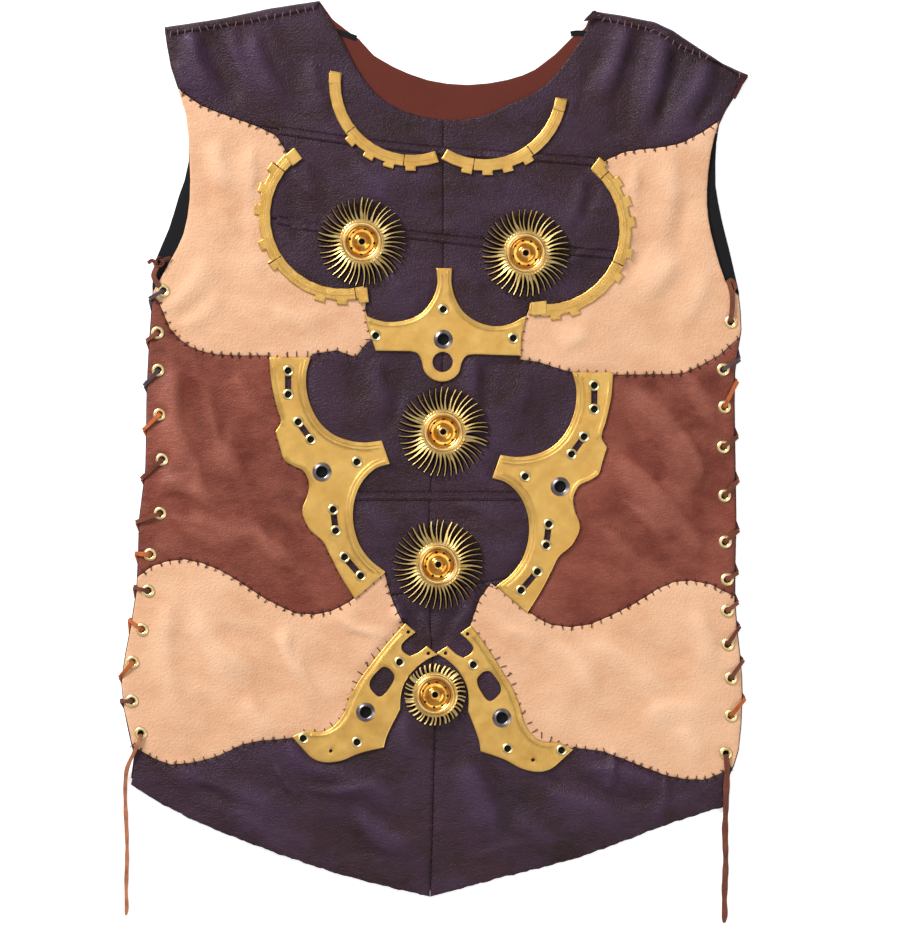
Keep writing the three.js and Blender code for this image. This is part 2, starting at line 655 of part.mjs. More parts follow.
/** The yoke's strip over one shoulder: a wall at the fold, and a band sewn down on the front. */
function shoulderWrap(fold, stitch) {
  const top = FRONT_TOP + SEAM_GAP;
  const wall = [...smooth(fold), ...smooth(moved(fold, 0, -LEATHER)).reverse()];
  const band = [...smooth(fold), ...smooth(stitch).reverse()];
  return prism(wall, 0, top + LEATHER).add(prism(band, top, top + LEATHER));
}
add("back_body", back.intersect(prism(corners(belowSeam), -TALL, TALL)), "black");
add(
  "back_yoke",
  back
    .intersect(prism(corners(aboveSeam), -TALL, TALL))
    .add(shoulderWrap(SHOULDER_FOLD_LEFT, SHOULDER_STITCH_LEFT))
    .add(shoulderWrap(SHOULDER_FOLD_RIGHT, SHOULDER_STITCH_RIGHT)),
  "aubergine",
);

// Pierced plates: the big eyelets have a raised rim.
function plate({ runs, holes, eyelets, slots, window = [] }) {
  const top = PLATE_UNDER + PLATE_THICK;
  let made = prism(joined(runs), PLATE_UNDER, top);
  for (const { x0, y0, x1, y1 } of slots) {
    made = made.subtract(strap([x0, y0], [x1, y1], 0, TALL, SLOT_WIDTH));
  }
  for (const { x, y, size } of eyelets) {
    const { rim, bore, rise } = PLATE_EYELETS[size];
    if (rise) made = made.add(cylinder(x, y, rim, PLATE_UNDER, top + rise, 12));
    made = made.subtract(cylinder(x, y, bore, 0, TALL, rise ? 10 : 8));
  }
  for (const { x, y, r } of holes) made = made.subtract(cylinder(x, y, r, 0, TALL, r > 4 ? 18 : 8));
  if (window.length) made = made.subtract(prism(corners(window), 0, TALL));
  return made;
}

/** A left plate turned over and set in the right plate's place. */
function rightHand(left, { turn, about: [x, y], dx, dy }) {
  return left
    .mirror([1, 0, 0])
    .translate([-x, -y, 0])
    .rotate([0, 0, turn])
    .translate([x + dx, y + dy, 0]);
}
add("heart_plate", plate(HEART_PLATE), "brass");
const plates = { hip: plate(HIP_PLATE), tail: plate(TAIL_PLATE) };
for (const [kind, left] of Object.entries(plates)) {
  add(kind + "_plate_left", left, "brass");
  add(kind + "_plate_right", rightHand(left, MIRRORED[kind]), "brass");
}

// Gear arcs.
function gearArc(arc, teeth) {
  const steps = 14;
  const outer = arcPoints(arc, ARC_WIDTH, steps);
  const band = corners([...arcPoints(arc, 0, steps), ...outer.reverse()]);
  let made = prism(band, PLATE_UNDER, PLATE_UNDER + PLATE_THICK);
  for (const degrees of teeth) {
    const angle = THREE.MathUtils.degToRad(degrees);
    const at = (radius) => [arc.x + radius * Math.cos(angle), arc.y + radius * Math.sin(angle)];
    const root = at(arc.inner + ARC_WIDTH - 1);
    const tip = at(arc.inner + ARC_WIDTH + TOOTH_HEIGHT);
    made = made.add(strap(root, tip, PLATE_UNDER, PLATE_UNDER + PLATE_THICK, TOOTH_WIDTH));
  }
  return made;
}
for (const { name, arc, teeth } of GEAR_ARCS) add(name, gearArc(arc, teeth), "brass");

// Turbine wheels: a dished hub inside a ring of thin swept blades.
function turbine({ tip, blades }) {
  const sweep = THREE.MathUtils.degToRad(BLADE_SWEEP);
  const at = (radius, angle) => new THREE.Vector2(radius * Math.cos(angle), radius * Math.sin(angle));
  const pitch = (2 * Math.PI) / blades;
  const outline = [];
  for (let i = 0; i < blades; i += 1) {
    outline.push(at(WHEEL_RING, i * pitch), at(tip, (i + 0.5) * pitch - sweep));
  }
  const star = new THREE.Shape(outline);
  star.holes.push(new THREE.Path().absarc(0, 0, WHEEL_RIM_INNER + 0.5, 0, 2 * Math.PI));
  const low = WHEEL_UNDER;
  const high = WHEEL_UNDER + WHEEL_HEIGHT;
  const fan = new THREE.ExtrudeGeometry(star, {
    depth: WHEEL_HEIGHT - 1,
    bevelEnabled: false,
    curveSegments: HUB_SIDES,
  });
  const hub = turned(
    [
      [WHEEL_BORE, low], [WHEEL_RIM, low], [WHEEL_RIM, high], [WHEEL_RIM_INNER, high],
      [WHEEL_RIM_INNER - 1, low + 2], [WHEEL_BOSS, low + 3], [WHEEL_BORE, high],
    ],
    HUB_SIDES,
  );
  return solid(fan.translate(0, 0, low)).add(solid(hub));
}
for (const wheel of WHEELS) {
  add(wheel.name, turbine(wheel), "brass").position.set(wheel.x, wheel.y, 0);
}

// Side eyelets: a flange on the leather and a barrel through it.
const tanPatchAt = (x, y, side) => y > (side < 0 ? 478 : 446) || y < (side < 0 ? 250 : 240);
function sideEyelets(holes, side, suffix) {
  holes.forEach(([x, y], i) => {
    const under = (tanPatchAt(x, y, side) ? PATCH_TOP : FRONT_TOP) + SEAM_GAP;
    const ring = turned(
      [
        [EYELET_BORE, FRONT_UNDER], [EYELET_BARREL, FRONT_UNDER], [EYELET_BARREL, under],
        [EYELET_FLANGE, under], [EYELET_BORE, under + EYELET_RISE],
      ],
      8,
    );
    const name = "eyelet_" + suffix + "_" + String(i + 1).padStart(2, "0");
    add(name, ring, "brass").position.set(x, y, 0);
  });
}
sideEyelets(EYELETS_LEFT, -1, "left");
sideEyelets(EYELETS_RIGHT, 1, "right");

// The laces' free ends: flat thongs that leave the last eyelets and come down to the table.
for (const { name, width, points } of LACE_ENDS) {
  const section = new THREE.Shape();
  section.absellipse(0, 0, LACE_END_THICK / 2, width / 2, 0, 2 * Math.PI);
  const path = new THREE.CatmullRomCurve3(points.map(([x, y, z]) => new THREE.Vector3(x, y, z)));
  const geometry = new THREE.ExtrudeGeometry(section, { extrudePath: path, steps: 24, curveSegments: 4 });
  add(name, solid(geometry), "thong");
}

// The origin is the middle of the garment's footprint, without the laces' free ends.
garment.updateMatrixWorld(true);
const footprint = new THREE.Box3();
for (const piece of garment.children) {
  if (!piece.name.startsWith("lace_end")) footprint.expandByObject(piece);
}
const middle = footprint.getCenter(new THREE.Vector3());
garment.position.set(-middle.x, -middle.y, 0);

const bodice = new THREE.Group();
bodice.add(garment);
export default bodice;
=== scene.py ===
"""The looks of a sleeveless patchwork leather bodice that lies flat on its back, front up.

Places are in pattern millimetres: from the hem's point, +X to the right as seen from above, +Y up
towards the neck and +Z out of the front. at() and the Mesher turn them into the frame's metres.
Leather panels and brass plates are cut to the outlines of their solids.
"""

import math
import random

import bmesh
import bpy
import numpy as np
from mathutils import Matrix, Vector
from mathutils.geometry import delaunay_2d_cdt


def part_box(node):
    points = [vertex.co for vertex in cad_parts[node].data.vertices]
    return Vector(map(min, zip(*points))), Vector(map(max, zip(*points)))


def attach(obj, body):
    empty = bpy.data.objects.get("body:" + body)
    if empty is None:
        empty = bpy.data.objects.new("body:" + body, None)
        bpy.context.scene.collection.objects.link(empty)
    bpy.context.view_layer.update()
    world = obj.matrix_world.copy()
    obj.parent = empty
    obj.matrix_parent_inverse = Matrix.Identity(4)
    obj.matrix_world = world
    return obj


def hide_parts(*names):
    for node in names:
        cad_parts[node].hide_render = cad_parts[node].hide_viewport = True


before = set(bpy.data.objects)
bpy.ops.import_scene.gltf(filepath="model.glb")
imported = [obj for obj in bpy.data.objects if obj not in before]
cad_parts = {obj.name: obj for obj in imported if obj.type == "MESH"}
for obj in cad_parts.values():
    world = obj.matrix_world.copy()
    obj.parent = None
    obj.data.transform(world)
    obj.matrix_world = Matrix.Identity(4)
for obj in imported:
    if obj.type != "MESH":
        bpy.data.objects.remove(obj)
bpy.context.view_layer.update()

# ---- driving dimensions, in pattern millimetres ----
MM = 0.001
BACK_TOP = 2.0
FRONT_UNDER = 2.4
LEATHER = 1.4
FRONT_TOP = FRONT_UNDER + LEATHER
PATCH_TOP = FRONT_TOP + 0.4
PLATE_UNDER = 4.5
PLATE_THICK = 1.1
PLATE_TOP = PLATE_UNDER + PLATE_THICK
WHEEL_UNDER = 4.1
FIRST_EYELET = (-219.0, 485.0)  # its place in the pattern, which sets the pattern in the frame
LOOK_AT = (10.4, 341.6)  # the middle of the view
VIEW_HEIGHT = 752.0  # of pattern that the view takes in, on a 940-pixel side
CAMERA_HEIGHT = 2.6  # metres
SENSOR = 36.0

eyelet_low, eyelet_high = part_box("eyelet_left_01")
ORIGIN = Vector(FIRST_EYELET) - (eyelet_low + eyelet_high).xy / (2 * MM)
rng = random.Random(7)


def at(x, y, z=0.0):
    """A pattern place as a point in the frame, in metres."""
    return Vector(((x - ORIGIN.x) * MM, (y - ORIGIN.y) * MM, z * MM))


def colour(red, green, blue):
    """A screen colour, 0 to 255, as the linear colour that a shader takes."""
    shares = [value / 255 for value in (red, green, blue)]
    linear = [s / 12.92 if s <= 0.04045 else ((s + 0.055) / 1.055) ** 2.4 for s in shares]
    return (*linear, 1.0)


# ---- camera, light and floor ----
def make_camera():
    """Straight above the middle of the view, far enough off that the flat garment keeps its shape."""
    data = bpy.data.cameras.new("camera")
    data.sensor_width = SENSOR
    data.lens = SENSOR * CAMERA_HEIGHT / (VIEW_HEIGHT * MM)
    camera = bpy.data.objects.new("camera", data)
    camera.location = at(*LOOK_AT, FRONT_TOP) + Vector((0, 0, CAMERA_HEIGHT))
    bpy.context.scene.collection.objects.link(camera)
    bpy.context.scene.camera = camera


LIGHTS = [  # name, place in metres, side in metres, watts
    ("key_softbox", (-2.5, 2.65, 2.0), 1.35, 218.0),
    ("fill_softbox", (1.5, -1.1, 1.5), 1.6, 16.0),
    ("overhead_softbox", (0.0, 0.35, 3.4), 1.5, 11.0),
]
WORLD_COLOUR = (1.0, 0.99, 0.975, 1)
WORLD_STRENGTH = 0.42


def make_lights():
    """Three soft boxes, each turned to the garment, in an evenly lit white studio."""
    for name, place, side, watts in LIGHTS:
        data = bpy.data.lights.new(name, "AREA")
        data.size = side
        data.energy = watts
        light = bpy.data.objects.new(name, data)
        light.location = place
        light.rotation_euler = (-Vector(place)).to_track_quat("-Z", "Y").to_euler()
        bpy.context.scene.collection.objects.link(light)
    world = bpy.data.worlds.new("studio")
    world.use_nodes = True
    background = world.node_tree.nodes["Background"]
    background.inputs["Color"].default_value = WORLD_COLOUR
    background.inputs["Strength"].default_value = WORLD_STRENGTH
    bpy.context.scene.world = world
    bpy.context.scene.view_settings.view_transform = "Standard"


# ---- shader expressions ----
class Wire:
    """A shader socket that reads as a number in an expression: an operator adds its Math node."""

    def __init__(self, tree, socket):
        self.tree = tree
        self.socket = socket

    def math(self, operation, first, second=0.0):
        return node(self.tree, "Math", {"operation": operation}, {0: first, 1: second})

    def __add__(self, other):
        return self.math("ADD", self, other)

    def __sub__(self, other):
        return self.math("SUBTRACT", self, other)

    def __rsub__(self, other):
        return self.math("SUBTRACT", other, self)

    def __mul__(self, other):
        return self.math("MULTIPLY", self, other)

    __radd__ = __add__
    __rmul__ = __mul__

    def size(self):
        """The same number without its sign."""
        return self.math("ABSOLUTE", self)

    def step(self, low, high):
        """0 below low, 1 above high and even between them."""
        inputs = {"Value": self, "From Min": low, "From Max": high}
        return node(self.tree, "MapRange", {"clamp": True}, inputs)


def node(tree, kind, settings=None, inputs=None, output=0):
    """Adds any node: its settings first, then the values or links of its sockets."""
    made = tree.nodes.new("ShaderNode" + kind)
    for name, value in (settings or {}).items():
        setattr(made, name, value)
    for name, value in (inputs or {}).items():
        if isinstance(value, Wire):
            tree.links.new(value.socket, made.inputs[name])
        else:
            made.inputs[name].default_value = value
    return Wire(tree, made.outputs[output])


class Finish:
    """One material while it is made: its nodes, its own surface coordinates and its shader."""

    def __init__(self, name):
        self.material = bpy.data.materials.new(name)
        self.material.use_nodes = True
        self.tree = self.material.node_tree
        self.shader = self.tree.nodes["Principled BSDF"]
        self.place = self.node("TexCoord", output="Object")

    def node(self, kind, settings=None, inputs=None, output=0):
        return node(self.tree, kind, settings, inputs, output)

    def noise(self, size, detail=3.0, stretch=(1, 1, 1), roughness=0.55, turn=0.0):
        """Cloudy noise whose patches are about size millimetres across."""
        place = self.stretched(stretch, turn)
        inputs = {"Vector": place, "Scale": 1 / (size * MM), "Detail": detail, "Roughness": roughness}
        return self.node("TexNoise", {}, inputs)

    def stretched(self, stretch, turn=0.0):
        """The surface place, turned by some degrees and drawn out along its axes."""
        inputs = {"Vector": self.place, "Scale": stretch, "Rotation": (0, 0, math.radians(turn))}
        return self.node("Mapping", {}, inputs)

    def cells(self, size, feature="F1", bend=0.0):
        """Cells of about size millimetres: the distance from each middle, or from the cell's edge."""
        place = self.place
        if bend:
            blur = self.node("TexNoise", {}, {"Vector": place, "Scale": 0.5 / (size * MM)}, "Color")
            inputs = {0: blur, 1: [bend * size * MM] * 3, 2: place}
            place = self.node("VectorMath", {"operation": "MULTIPLY_ADD"}, inputs)
        inputs = {"Vector": place, "Scale": 1 / (size * MM)}
        return self.node("TexVoronoi", {"feature": feature}, inputs, "Distance")

    def point_value(self, name):
        """A number that the mesh carries at each point."""
        return self.node("Attribute", {"attribute_name": name}, output="Fac")

    def mix(self, share, first, second):
        """A colour between two, by its share of the second: 0, 6 and 7 are Mix's colour sockets."""
        return self.node("Mix", {"data_type": "RGBA"}, {0: share, 6: first, 7: second}, 2)

    def set(self, **sockets):
        """Sets or links the shader's sockets, named with underscores for spaces."""
        for name, value in sockets.items():
            socket = self.shader.inputs[name.replace("_", " ")]
            if isinstance(value, Wire):
                self.tree.links.new(value.socket, socket)
            else:
                socket.default_value = value

    def bump(self, height, depth):
        """Feeds a height from 0 to 1, depth millimetres deep, to the shader's normal."""
        inputs = {"Strength": 1.0, "Distance": depth * MM, "Height": height}
        self.set(Normal=self.node("Bump", {}, inputs, "Normal"))


# ---- finishes ----
def grain_leather(name, base, light, dark, worn, grain, gloss, grain_depth, crease_depth):
    """Grain leather: cloudy dye, lighter patches of painted sheen, a pebbled grain, fine creases
    darkened with painted shade, and on its folds a painted sheen with some wear on the ridges and
    painted shade in the troughs.
    """
    made = Finish(name)
    cloud = made.noise(90, 4).step(0.36, 0.66)
    patches = made.noise(38, 3, (1, 1.4, 1), 0.6, -30).step(0.4, 0.64)
    mottle = made.noise(14, 6, (1, 1.6, 1), 0.62, 25)
    pebbles = made.cells(grain, "SMOOTH_F1", 0.9)
    creases = made.noise(9, 7, (1, 2.6, 1), 0.62, 38)
    lines = (creases - 0.5).size().step(0.0, 0.09)
    fold = made.point_value("fold")
    tone = made.mix(cloud, dark, base)
    # Lighter patches in the light colour: painted sheen.
    tone = made.mix(patches * 0.6, tone, light)
    tone = made.mix(mottle.step(0.42, 0.72) * 0.45, tone, light)
    # Paler towards the worn colour where the fold value rises, on the folds' ridges: painted sheen, with
    # some wear.
    tone = made.mix(fold.step(0.1, 1.0) * 0.4, tone, worn)
    # Darker where the fold value falls, in the folds' troughs and along cut edges: painted shade.
    tone = made.mix((0 - fold).step(0.1, 1.0) * 0.7, tone, dark)
    # Darker along the fine crease lines: painted shade in the creases.
    tone = made.mix((1 - lines) * 0.6 * crease_depth, tone, dark)
    made.set(Base_Color=tone, Specular_IOR_Level=0.26)
    made.set(Roughness=mottle * 0.16 + (gloss - 0.08) + pebbles * 0.12)
    rumple = made.noise(19, 3, (1, 2.0, 1), 0.5, 33) * 1.3 * crease_depth
    fine = pebbles * 0.45 * grain_depth + mottle * (0.05 + 0.78 * crease_depth)
    made.bump(fine + lines * crease_depth * 0.4 + rumple, 1.0)
    return made.material


def suede(name, base, dark):
    """The flesh side: soft, napped and without gloss."""
    made = Finish(name)
    nap = made.noise(1.1, 5, (1, 2.2, 1), 0.7, 15)
    brushed = made.noise(22, 4, (1, 0.5, 1)).step(0.35, 0.68)
    tone = made.mix(brushed * 0.6, base, dark)
    tone = made.mix(nap.step(0.35, 0.7) * 0.35, dark, tone)
    made.set(Base_Color=tone, Roughness=0.92, Specular_IOR_Level=0.2, Sheen_Weight=0.15)
    made.bump(nap, 0.35)
    return made.material


DARK_JOINT = colour(64, 38, 20)
BROWN_TARNISH = colour(120, 62, 18)


def sheet_brass(name, base, pale, dark, roughness):
    """Brass sheet: brushed fine lines, small scratches, dull patches, a little waviness, a painted
    highlight along its pressed ribs and darker joints.
    """
    made = Finish(name)
    brushed = made.noise(2.2, 5, (1, 7, 1), 0.7, 20)
    patches = made.noise(16, 5, (1, 1, 1), 0.6)
    scratch = made.noise(5, 6, (9, 0.6, 1), 0.75, -35)
    waves = made.noise(26, 2)
    tone = made.mix(patches.step(0.38, 0.66) * 0.6, base, pale)
    tone = made.mix(made.noise(6, 5, (1, 1, 1), 0.7).step(0.58, 0.76) * 0.2, tone, dark)
    tone = made.mix(scratch.step(0.62, 0.7) * 0.3, tone, pale)
    fold = made.point_value("fold")
    # Paler on the pressed ribs: painted highlight.
    tone = made.mix(fold.step(0.2, 1.0) * 0.4, tone, pale)
    tone = made.mix((0 - fold).step(0.1, 0.8), tone, DARK_JOINT)
    made.set(Base_Color=tone, Metallic=1.0)
    made.set(Roughness=patches * 0.2 + (roughness - 0.1) + brushed * 0.08)
    made.bump(brushed * 0.12 + scratch.step(0.6, 0.72) * 0.12 + waves * 0.9, 0.9)
    return made.material


def bright_metal(name, base, pale, roughness, tarnish=0.3):
    """Turned and polished metal with a little tarnish in it."""
    made = Finish(name)
    cloud = made.noise(7, 4)
    tone = made.mix(cloud.step(0.35, 0.7), pale, base)
    tone = made.mix(made.noise(3.0, 4).step(0.58, 0.75) * tarnish, tone, BROWN_TARNISH)
    made.set(Base_Color=tone, Metallic=1.0, Roughness=cloud * 0.14 + (roughness - 0.07))
    made.bump(made.noise(1.6, 4), 0.05)
    return made.material


def thong_leather(name, base, dark, light):
    """A cut thong: long fibres, raw sides and handled, darker stretches."""
    made = Finish(name)
    fibre = made.noise(1.3, 4, (2.2, 0.5, 1), 0.6)
    worn = made.noise(11, 3).step(0.35, 0.65)
    tone = made.mix(worn, base, dark)
    tone = made.mix(fibre.step(0.5, 0.75) * 0.5, tone, light)
    made.set(Base_Color=tone, Roughness=0.7, Specular_IOR_Level=0.35)
    made.bump(fibre, 0.25)
    return made.material


def plain(name, base, roughness, fleck=0.25):
    """Thread, dark lining and the like: one dye with a slight fleck."""
    made = Finish(name)
    grain = made.noise(0.8, 3)
    tone = made.mix(grain * fleck, base, [min(1.0, c * 2.2) for c in base[:3]] + [1.0])
    made.set(Base_Color=tone, Roughness=roughness, Specular_IOR_Level=0.3)
    made.bump(grain, 0.12)
    return made.material


def glowing(name, base, strength):
    """A pale table top with some light of its own, so that it stays white under the garment."""
    made = Finish(name)
    made.set(Base_Color=base, Roughness=0.95, Emission_Color=base, Emission_Strength=strength)
    return made.material


FINISHES = {
    # Each grain leather: base, light, dark and worn colours, grain, gloss, grain depth and crease depth.
    # The light colour also gives its patches of painted sheen, the worn colour the painted sheen, with
    # some wear, on its fold ridges, and the dark colour also the painted shade in its troughs and
    # creases.
    "aubergine": grain_leather(
        "aubergine_grain_leather", colour(50, 23, 31), colour(61, 38, 62), colour(33, 11, 13),
        colour(76, 53, 84), 1.2, 0.36, 1.3, 0.4,
    ),
    "chestnut": grain_leather(
        "chestnut_grain_leather", colour(122, 56, 42), colour(144, 80, 62), colour(92, 34, 22),
        colour(172, 106, 88), 1.3, 0.42, 0.9, 0.32,
    ),
    "tan": grain_leather(
        "tan_grain_leather", colour(216, 168, 132), colour(225, 181, 146), colour(206, 155, 118),
        colour(240, 200, 168), 1.6, 0.6, 0.8, 0.05,
    ),
    "raw_edge": suede("raw_cut_edge", colour(92, 44, 36), colour(60, 28, 26)),
    "tan_edge": suede("tan_cut_edge", colour(226, 178, 134), colour(190, 140, 100)),
    "flesh": suede("chestnut_flesh_side", colour(120, 56, 42), colour(88, 36, 26)),
    "black": plain("black_inside", colour(11, 11, 16), 0.9, 0.15),
    "floor": glowing("pale_floor", colour(247, 247, 247), 0.5),
    # Dark discs set in the eyelets' holes and the hubs' bores and holes: painted shade.
    "hole": plain("painted_shade_in_holes", colour(6, 6, 7), 0.9),
    "plate": sheet_brass(
        "brushed_sheet_brass", colour(214, 166, 88), colour(238, 198, 116), colour(178, 124, 52), 0.34,
    ),
    "wheel": bright_metal("bright_turned_brass", colour(214, 164, 88), colour(244, 206, 132), 0.3),
    # The hubs' dished faces: an orange-copper colour that stands in for the orange reflections in them,
    # painted reflection.
    "wheel_face": bright_metal(
        "brass_face_painted_orange_reflection", colour(206, 116, 34), colour(236, 182, 84), 0.16, 0.6,
    ),
    # The blades' lips are a brighter copy of the brass, a painted highlight, and their webs a dark copy,
    # painted shade.
    "blade": bright_metal("thin_brass_blade", colour(222, 176, 92), colour(250, 226, 158), 0.3),
    "blade_web_painted_shade": bright_metal("shaded_brass_blade", colour(70, 44, 24), colour(112, 76, 38), 0.45),
    "eyelet": bright_metal(
        "pale_plated_brass", colour(226, 198, 134), colour(246, 228, 178), 0.36, 0.15,
    ),
    "nickel": bright_metal("dull_nickel", colour(88, 80, 80), colour(158, 148, 146), 0.32, 0.1),
    "thread": plain("waxed_dark_thread", colour(58, 30, 32), 0.6),
    "fine_thread": plain("fine_sewing_thread", colour(36, 22, 28), 0.55),
    "pale_thread": plain("faded_sewing_thread", colour(128, 96, 92), 0.6),
    "thong_brown": thong_leather(
        "brown_thong", colour(112, 58, 36), colour(84, 40, 26), colour(140, 84, 58),
    ),
    "thong_pale": thong_leather(
        "worn_pale_thong", colour(176, 112, 78), colour(136, 78, 52), colour(206, 148, 112),
    ),
    "thong_orange": thong_leather(
        "orange_thong", colour(186, 98, 44), colour(146, 68, 30), colour(208, 132, 78),
    ),
    "thong_dark": thong_leather(
        "dark_thong", colour(74, 60, 66), colour(54, 42, 48), colour(104, 90, 96),
    ),
}


# ---- outlines ----
def sections(name, height):
    """The closed outlines where a CAD solid is cut level at a height, longest first."""
    mesh = bmesh.new()
    mesh.from_mesh(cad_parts[name].data)
    bmesh.ops.remove_doubles(mesh, verts=mesh.verts, dist=1e-6)
    cut = bmesh.ops.bisect_plane(
        mesh,
        geom=[*mesh.verts, *mesh.edges, *mesh.faces],
        dist=1e-7,
        plane_co=(0, 0, height * MM),
        plane_no=(0, 0, 1),
    )
    edges = dict.fromkeys(e for e in cut["geom_cut"] if isinstance(e, bmesh.types.BMEdge))
    loops = []
    while edges:
        edge = edges.popitem()[0]
        first, here = edge.verts
        loop = [first, here]
        while here is not first:
            onward = next((e for e in here.link_edges if e in edges), None)
            if onward is None:
                break
            edges.pop(onward)
            here = onward.other_vert(here)
            loop.append(here)
        places = [(v.co.x / MM + ORIGIN.x, v.co.y / MM + ORIGIN.y) for v in loop[:-1]]
        loops.append(from_the_left(np.array(places)))
    mesh.free()
    return sorted(loops, key=lambda loop: -length_round(loop))


def from_the_left(loop):
    """The same outline, anticlockwise from its leftmost point, so that every run starts alike."""
    if area_of(loop) < 0:
        loop = loop[::-1]
    first = np.lexsort((loop[:, 1], loop[:, 0].round(3)))[0]
    return np.roll(loop, -first, 0)


def length_round(loop):
    return float(np.linalg.norm(np.roll(loop, -1, 0) - loop, axis=1).sum())


def length_along(line):
    return float(np.linalg.norm(np.diff(line, axis=0), axis=1).sum())


def area_of(loop):
    x, y = loop[:, 0], loop[:, 1]
    return 0.5 * float(np.sum(x * np.roll(y, -1) - y * np.roll(x, -1)))


def curve_between(p0, p1, p2, p3, count):
    """Points on the smooth curve from p1 up to p2, without p2, that passes by p0 and p3."""
    t0, t1 = 0.0, max(np.linalg.norm(p1 - p0), 1e-6) ** 0.5
    t2 = t1 + max(np.linalg.norm(p2 - p1), 1e-6) ** 0.5
    t3 = t2 + max(np.linalg.norm(p3 - p2), 1e-6) ** 0.5
    t = np.linspace(t1, t2, count, endpoint=False)[:, None]
    a1 = (t1 - t) / (t1 - t0) * p0 + (t - t0) / (t1 - t0) * p1
    a2 = (t2 - t) / (t2 - t1) * p1 + (t - t1) / (t2 - t1) * p2
    a3 = (t3 - t) / (t3 - t2) * p2 + (t - t2) / (t3 - t2) * p3
    b1 = (t2 - t) / (t2 - t0) * a1 + (t - t0) / (t2 - t0) * a2
    b2 = (t3 - t) / (t3 - t1) * a2 + (t - t1) / (t3 - t1) * a3
    return (t2 - t) / (t2 - t1) * b1 + (t - t1) / (t2 - t1) * b2


def smooth_line(points, step):
    """An open line resampled as one smooth curve, in about even steps."""
    points = np.asarray(points, float)
    before, after = 2 * points[0] - points[1], 2 * points[-1] - points[-2]
    padded = np.vstack([before, points, after])
    rows = []
    for i in range(len(points) - 1):
        count = max(1, round(np.linalg.norm(padded[i + 2] - padded[i + 1]) / step))
        rows.append(curve_between(*padded[i : i + 4], count))
    return np.vstack([*rows, points[-1:]])


SHARP = math.radians(33)  # a turn that is a corner of the cut, and not part of a curve
TOO_CLOSE = 0.35  # between two points of an outline


def smooth_loop(loop, step):
    """A closed outline as smooth curves between its corners, anticlockwise."""
    if area_of(loop) < 0:
        loop = loop[::-1]
    loop = loop[np.linalg.norm(loop - np.roll(loop, 1, 0), axis=1) > TOO_CLOSE]
    ahead = np.roll(loop, -1, 0) - loop
    behind = loop - np.roll(loop, 1, 0)
    turn = np.arctan2(
        behind[:, 0] * ahead[:, 1] - behind[:, 1] * ahead[:, 0], (behind * ahead).sum(1)
    )
    corners = np.flatnonzero(np.abs(turn) > SHARP)
    if len(corners) == 0:
        closed = np.vstack([loop[-2:], loop, loop[:3]])
        rows = []
        for i in range(1, len(loop) + 1):
            count = max(1, round(np.linalg.norm(closed[i + 2] - closed[i + 1]) / step))
            rows.append(curve_between(*closed[i : i + 4], count))
        return np.vstack(rows)
    loop = np.roll(loop, -corners[0], 0)
    corners = [*(corners - corners[0]), len(loop)]
    loop = np.vstack([loop, loop[:1]])
    runs = [smooth_line(loop[a : b + 1], step)[:-1] for a, b in zip(corners, corners[1:])]
    return np.vstack(runs)


def rounded(loop, times=3):
    """A closed outline with its corners cut, again and again, until they are round."""
    for _ in range(times):
        ahead = np.roll(loop, -1, 0)
        loop = np.stack([0.78 * loop + 0.22 * ahead, 0.22 * loop + 0.78 * ahead], 1).reshape(-1, 2)
    return loop


def circle(x, y, radius, sides):
    """A round outline."""
    turns = np.linspace(0, 2 * math.pi, sides, endpoint=False)
    return np.stack([x + radius * np.cos(turns), y + radius * np.sin(turns)], 1)


def inside(points, loop):
    """Which of the points lie inside a closed outline."""
    x, y = points[:, 0, None], points[:, 1, None]
    x0, y0 = loop[:, 0], loop[:, 1]
    x1, y1 = np.roll(x0, -1), np.roll(y0, -1)
    spans = (y0 > y) != (y1 > y)
    with np.errstate(divide="ignore", invalid="ignore"):
        crossing = x0 + (y - y0) * (x1 - x0) / (y1 - y0)
    return ((spans & (x < crossing)).sum(1) % 2).astype(bool)


def distance_to(points, line, closed=True):
    """How far each point lies from a line, and how far along the line its nearest place is."""
    starts = line if closed else line[:-1]
    ends = np.roll(line, -1, 0) if closed else line[1:]
    along = ends - starts
    lengths = np.maximum((along**2).sum(1), 1e-12)
    run = np.concatenate([[0], np.cumsum(np.sqrt(lengths))])[:-1]
    far, place = np.empty(len(points)), np.empty(len(points))
    for low in range(0, len(points), 2000):
        some = points[low : low + 2000, None, :]
        share = np.clip(((some - starts) * along).sum(2) / lengths, 0, 1)
        gaps = np.hypot(
            some[:, :, 0] - starts[:, 0] - share * along[:, 0],
            some[:, :, 1] - starts[:, 1] - share * along[:, 1],
        )
        nearest = gaps.argmin(1)
        rows = np.arange(len(nearest))
        far[low : low + 2000] = gaps[rows, nearest]
        place[low : low + 2000] = run[nearest] + share[rows, nearest] * np.sqrt(lengths[nearest])
    return far, place


def eased(value, low, high):
    """0 below low, 1 above high and a soft step between them."""
    share = np.clip((value - low) / (high - low), 0, 1)
    return share * share * (3 - 2 * share)


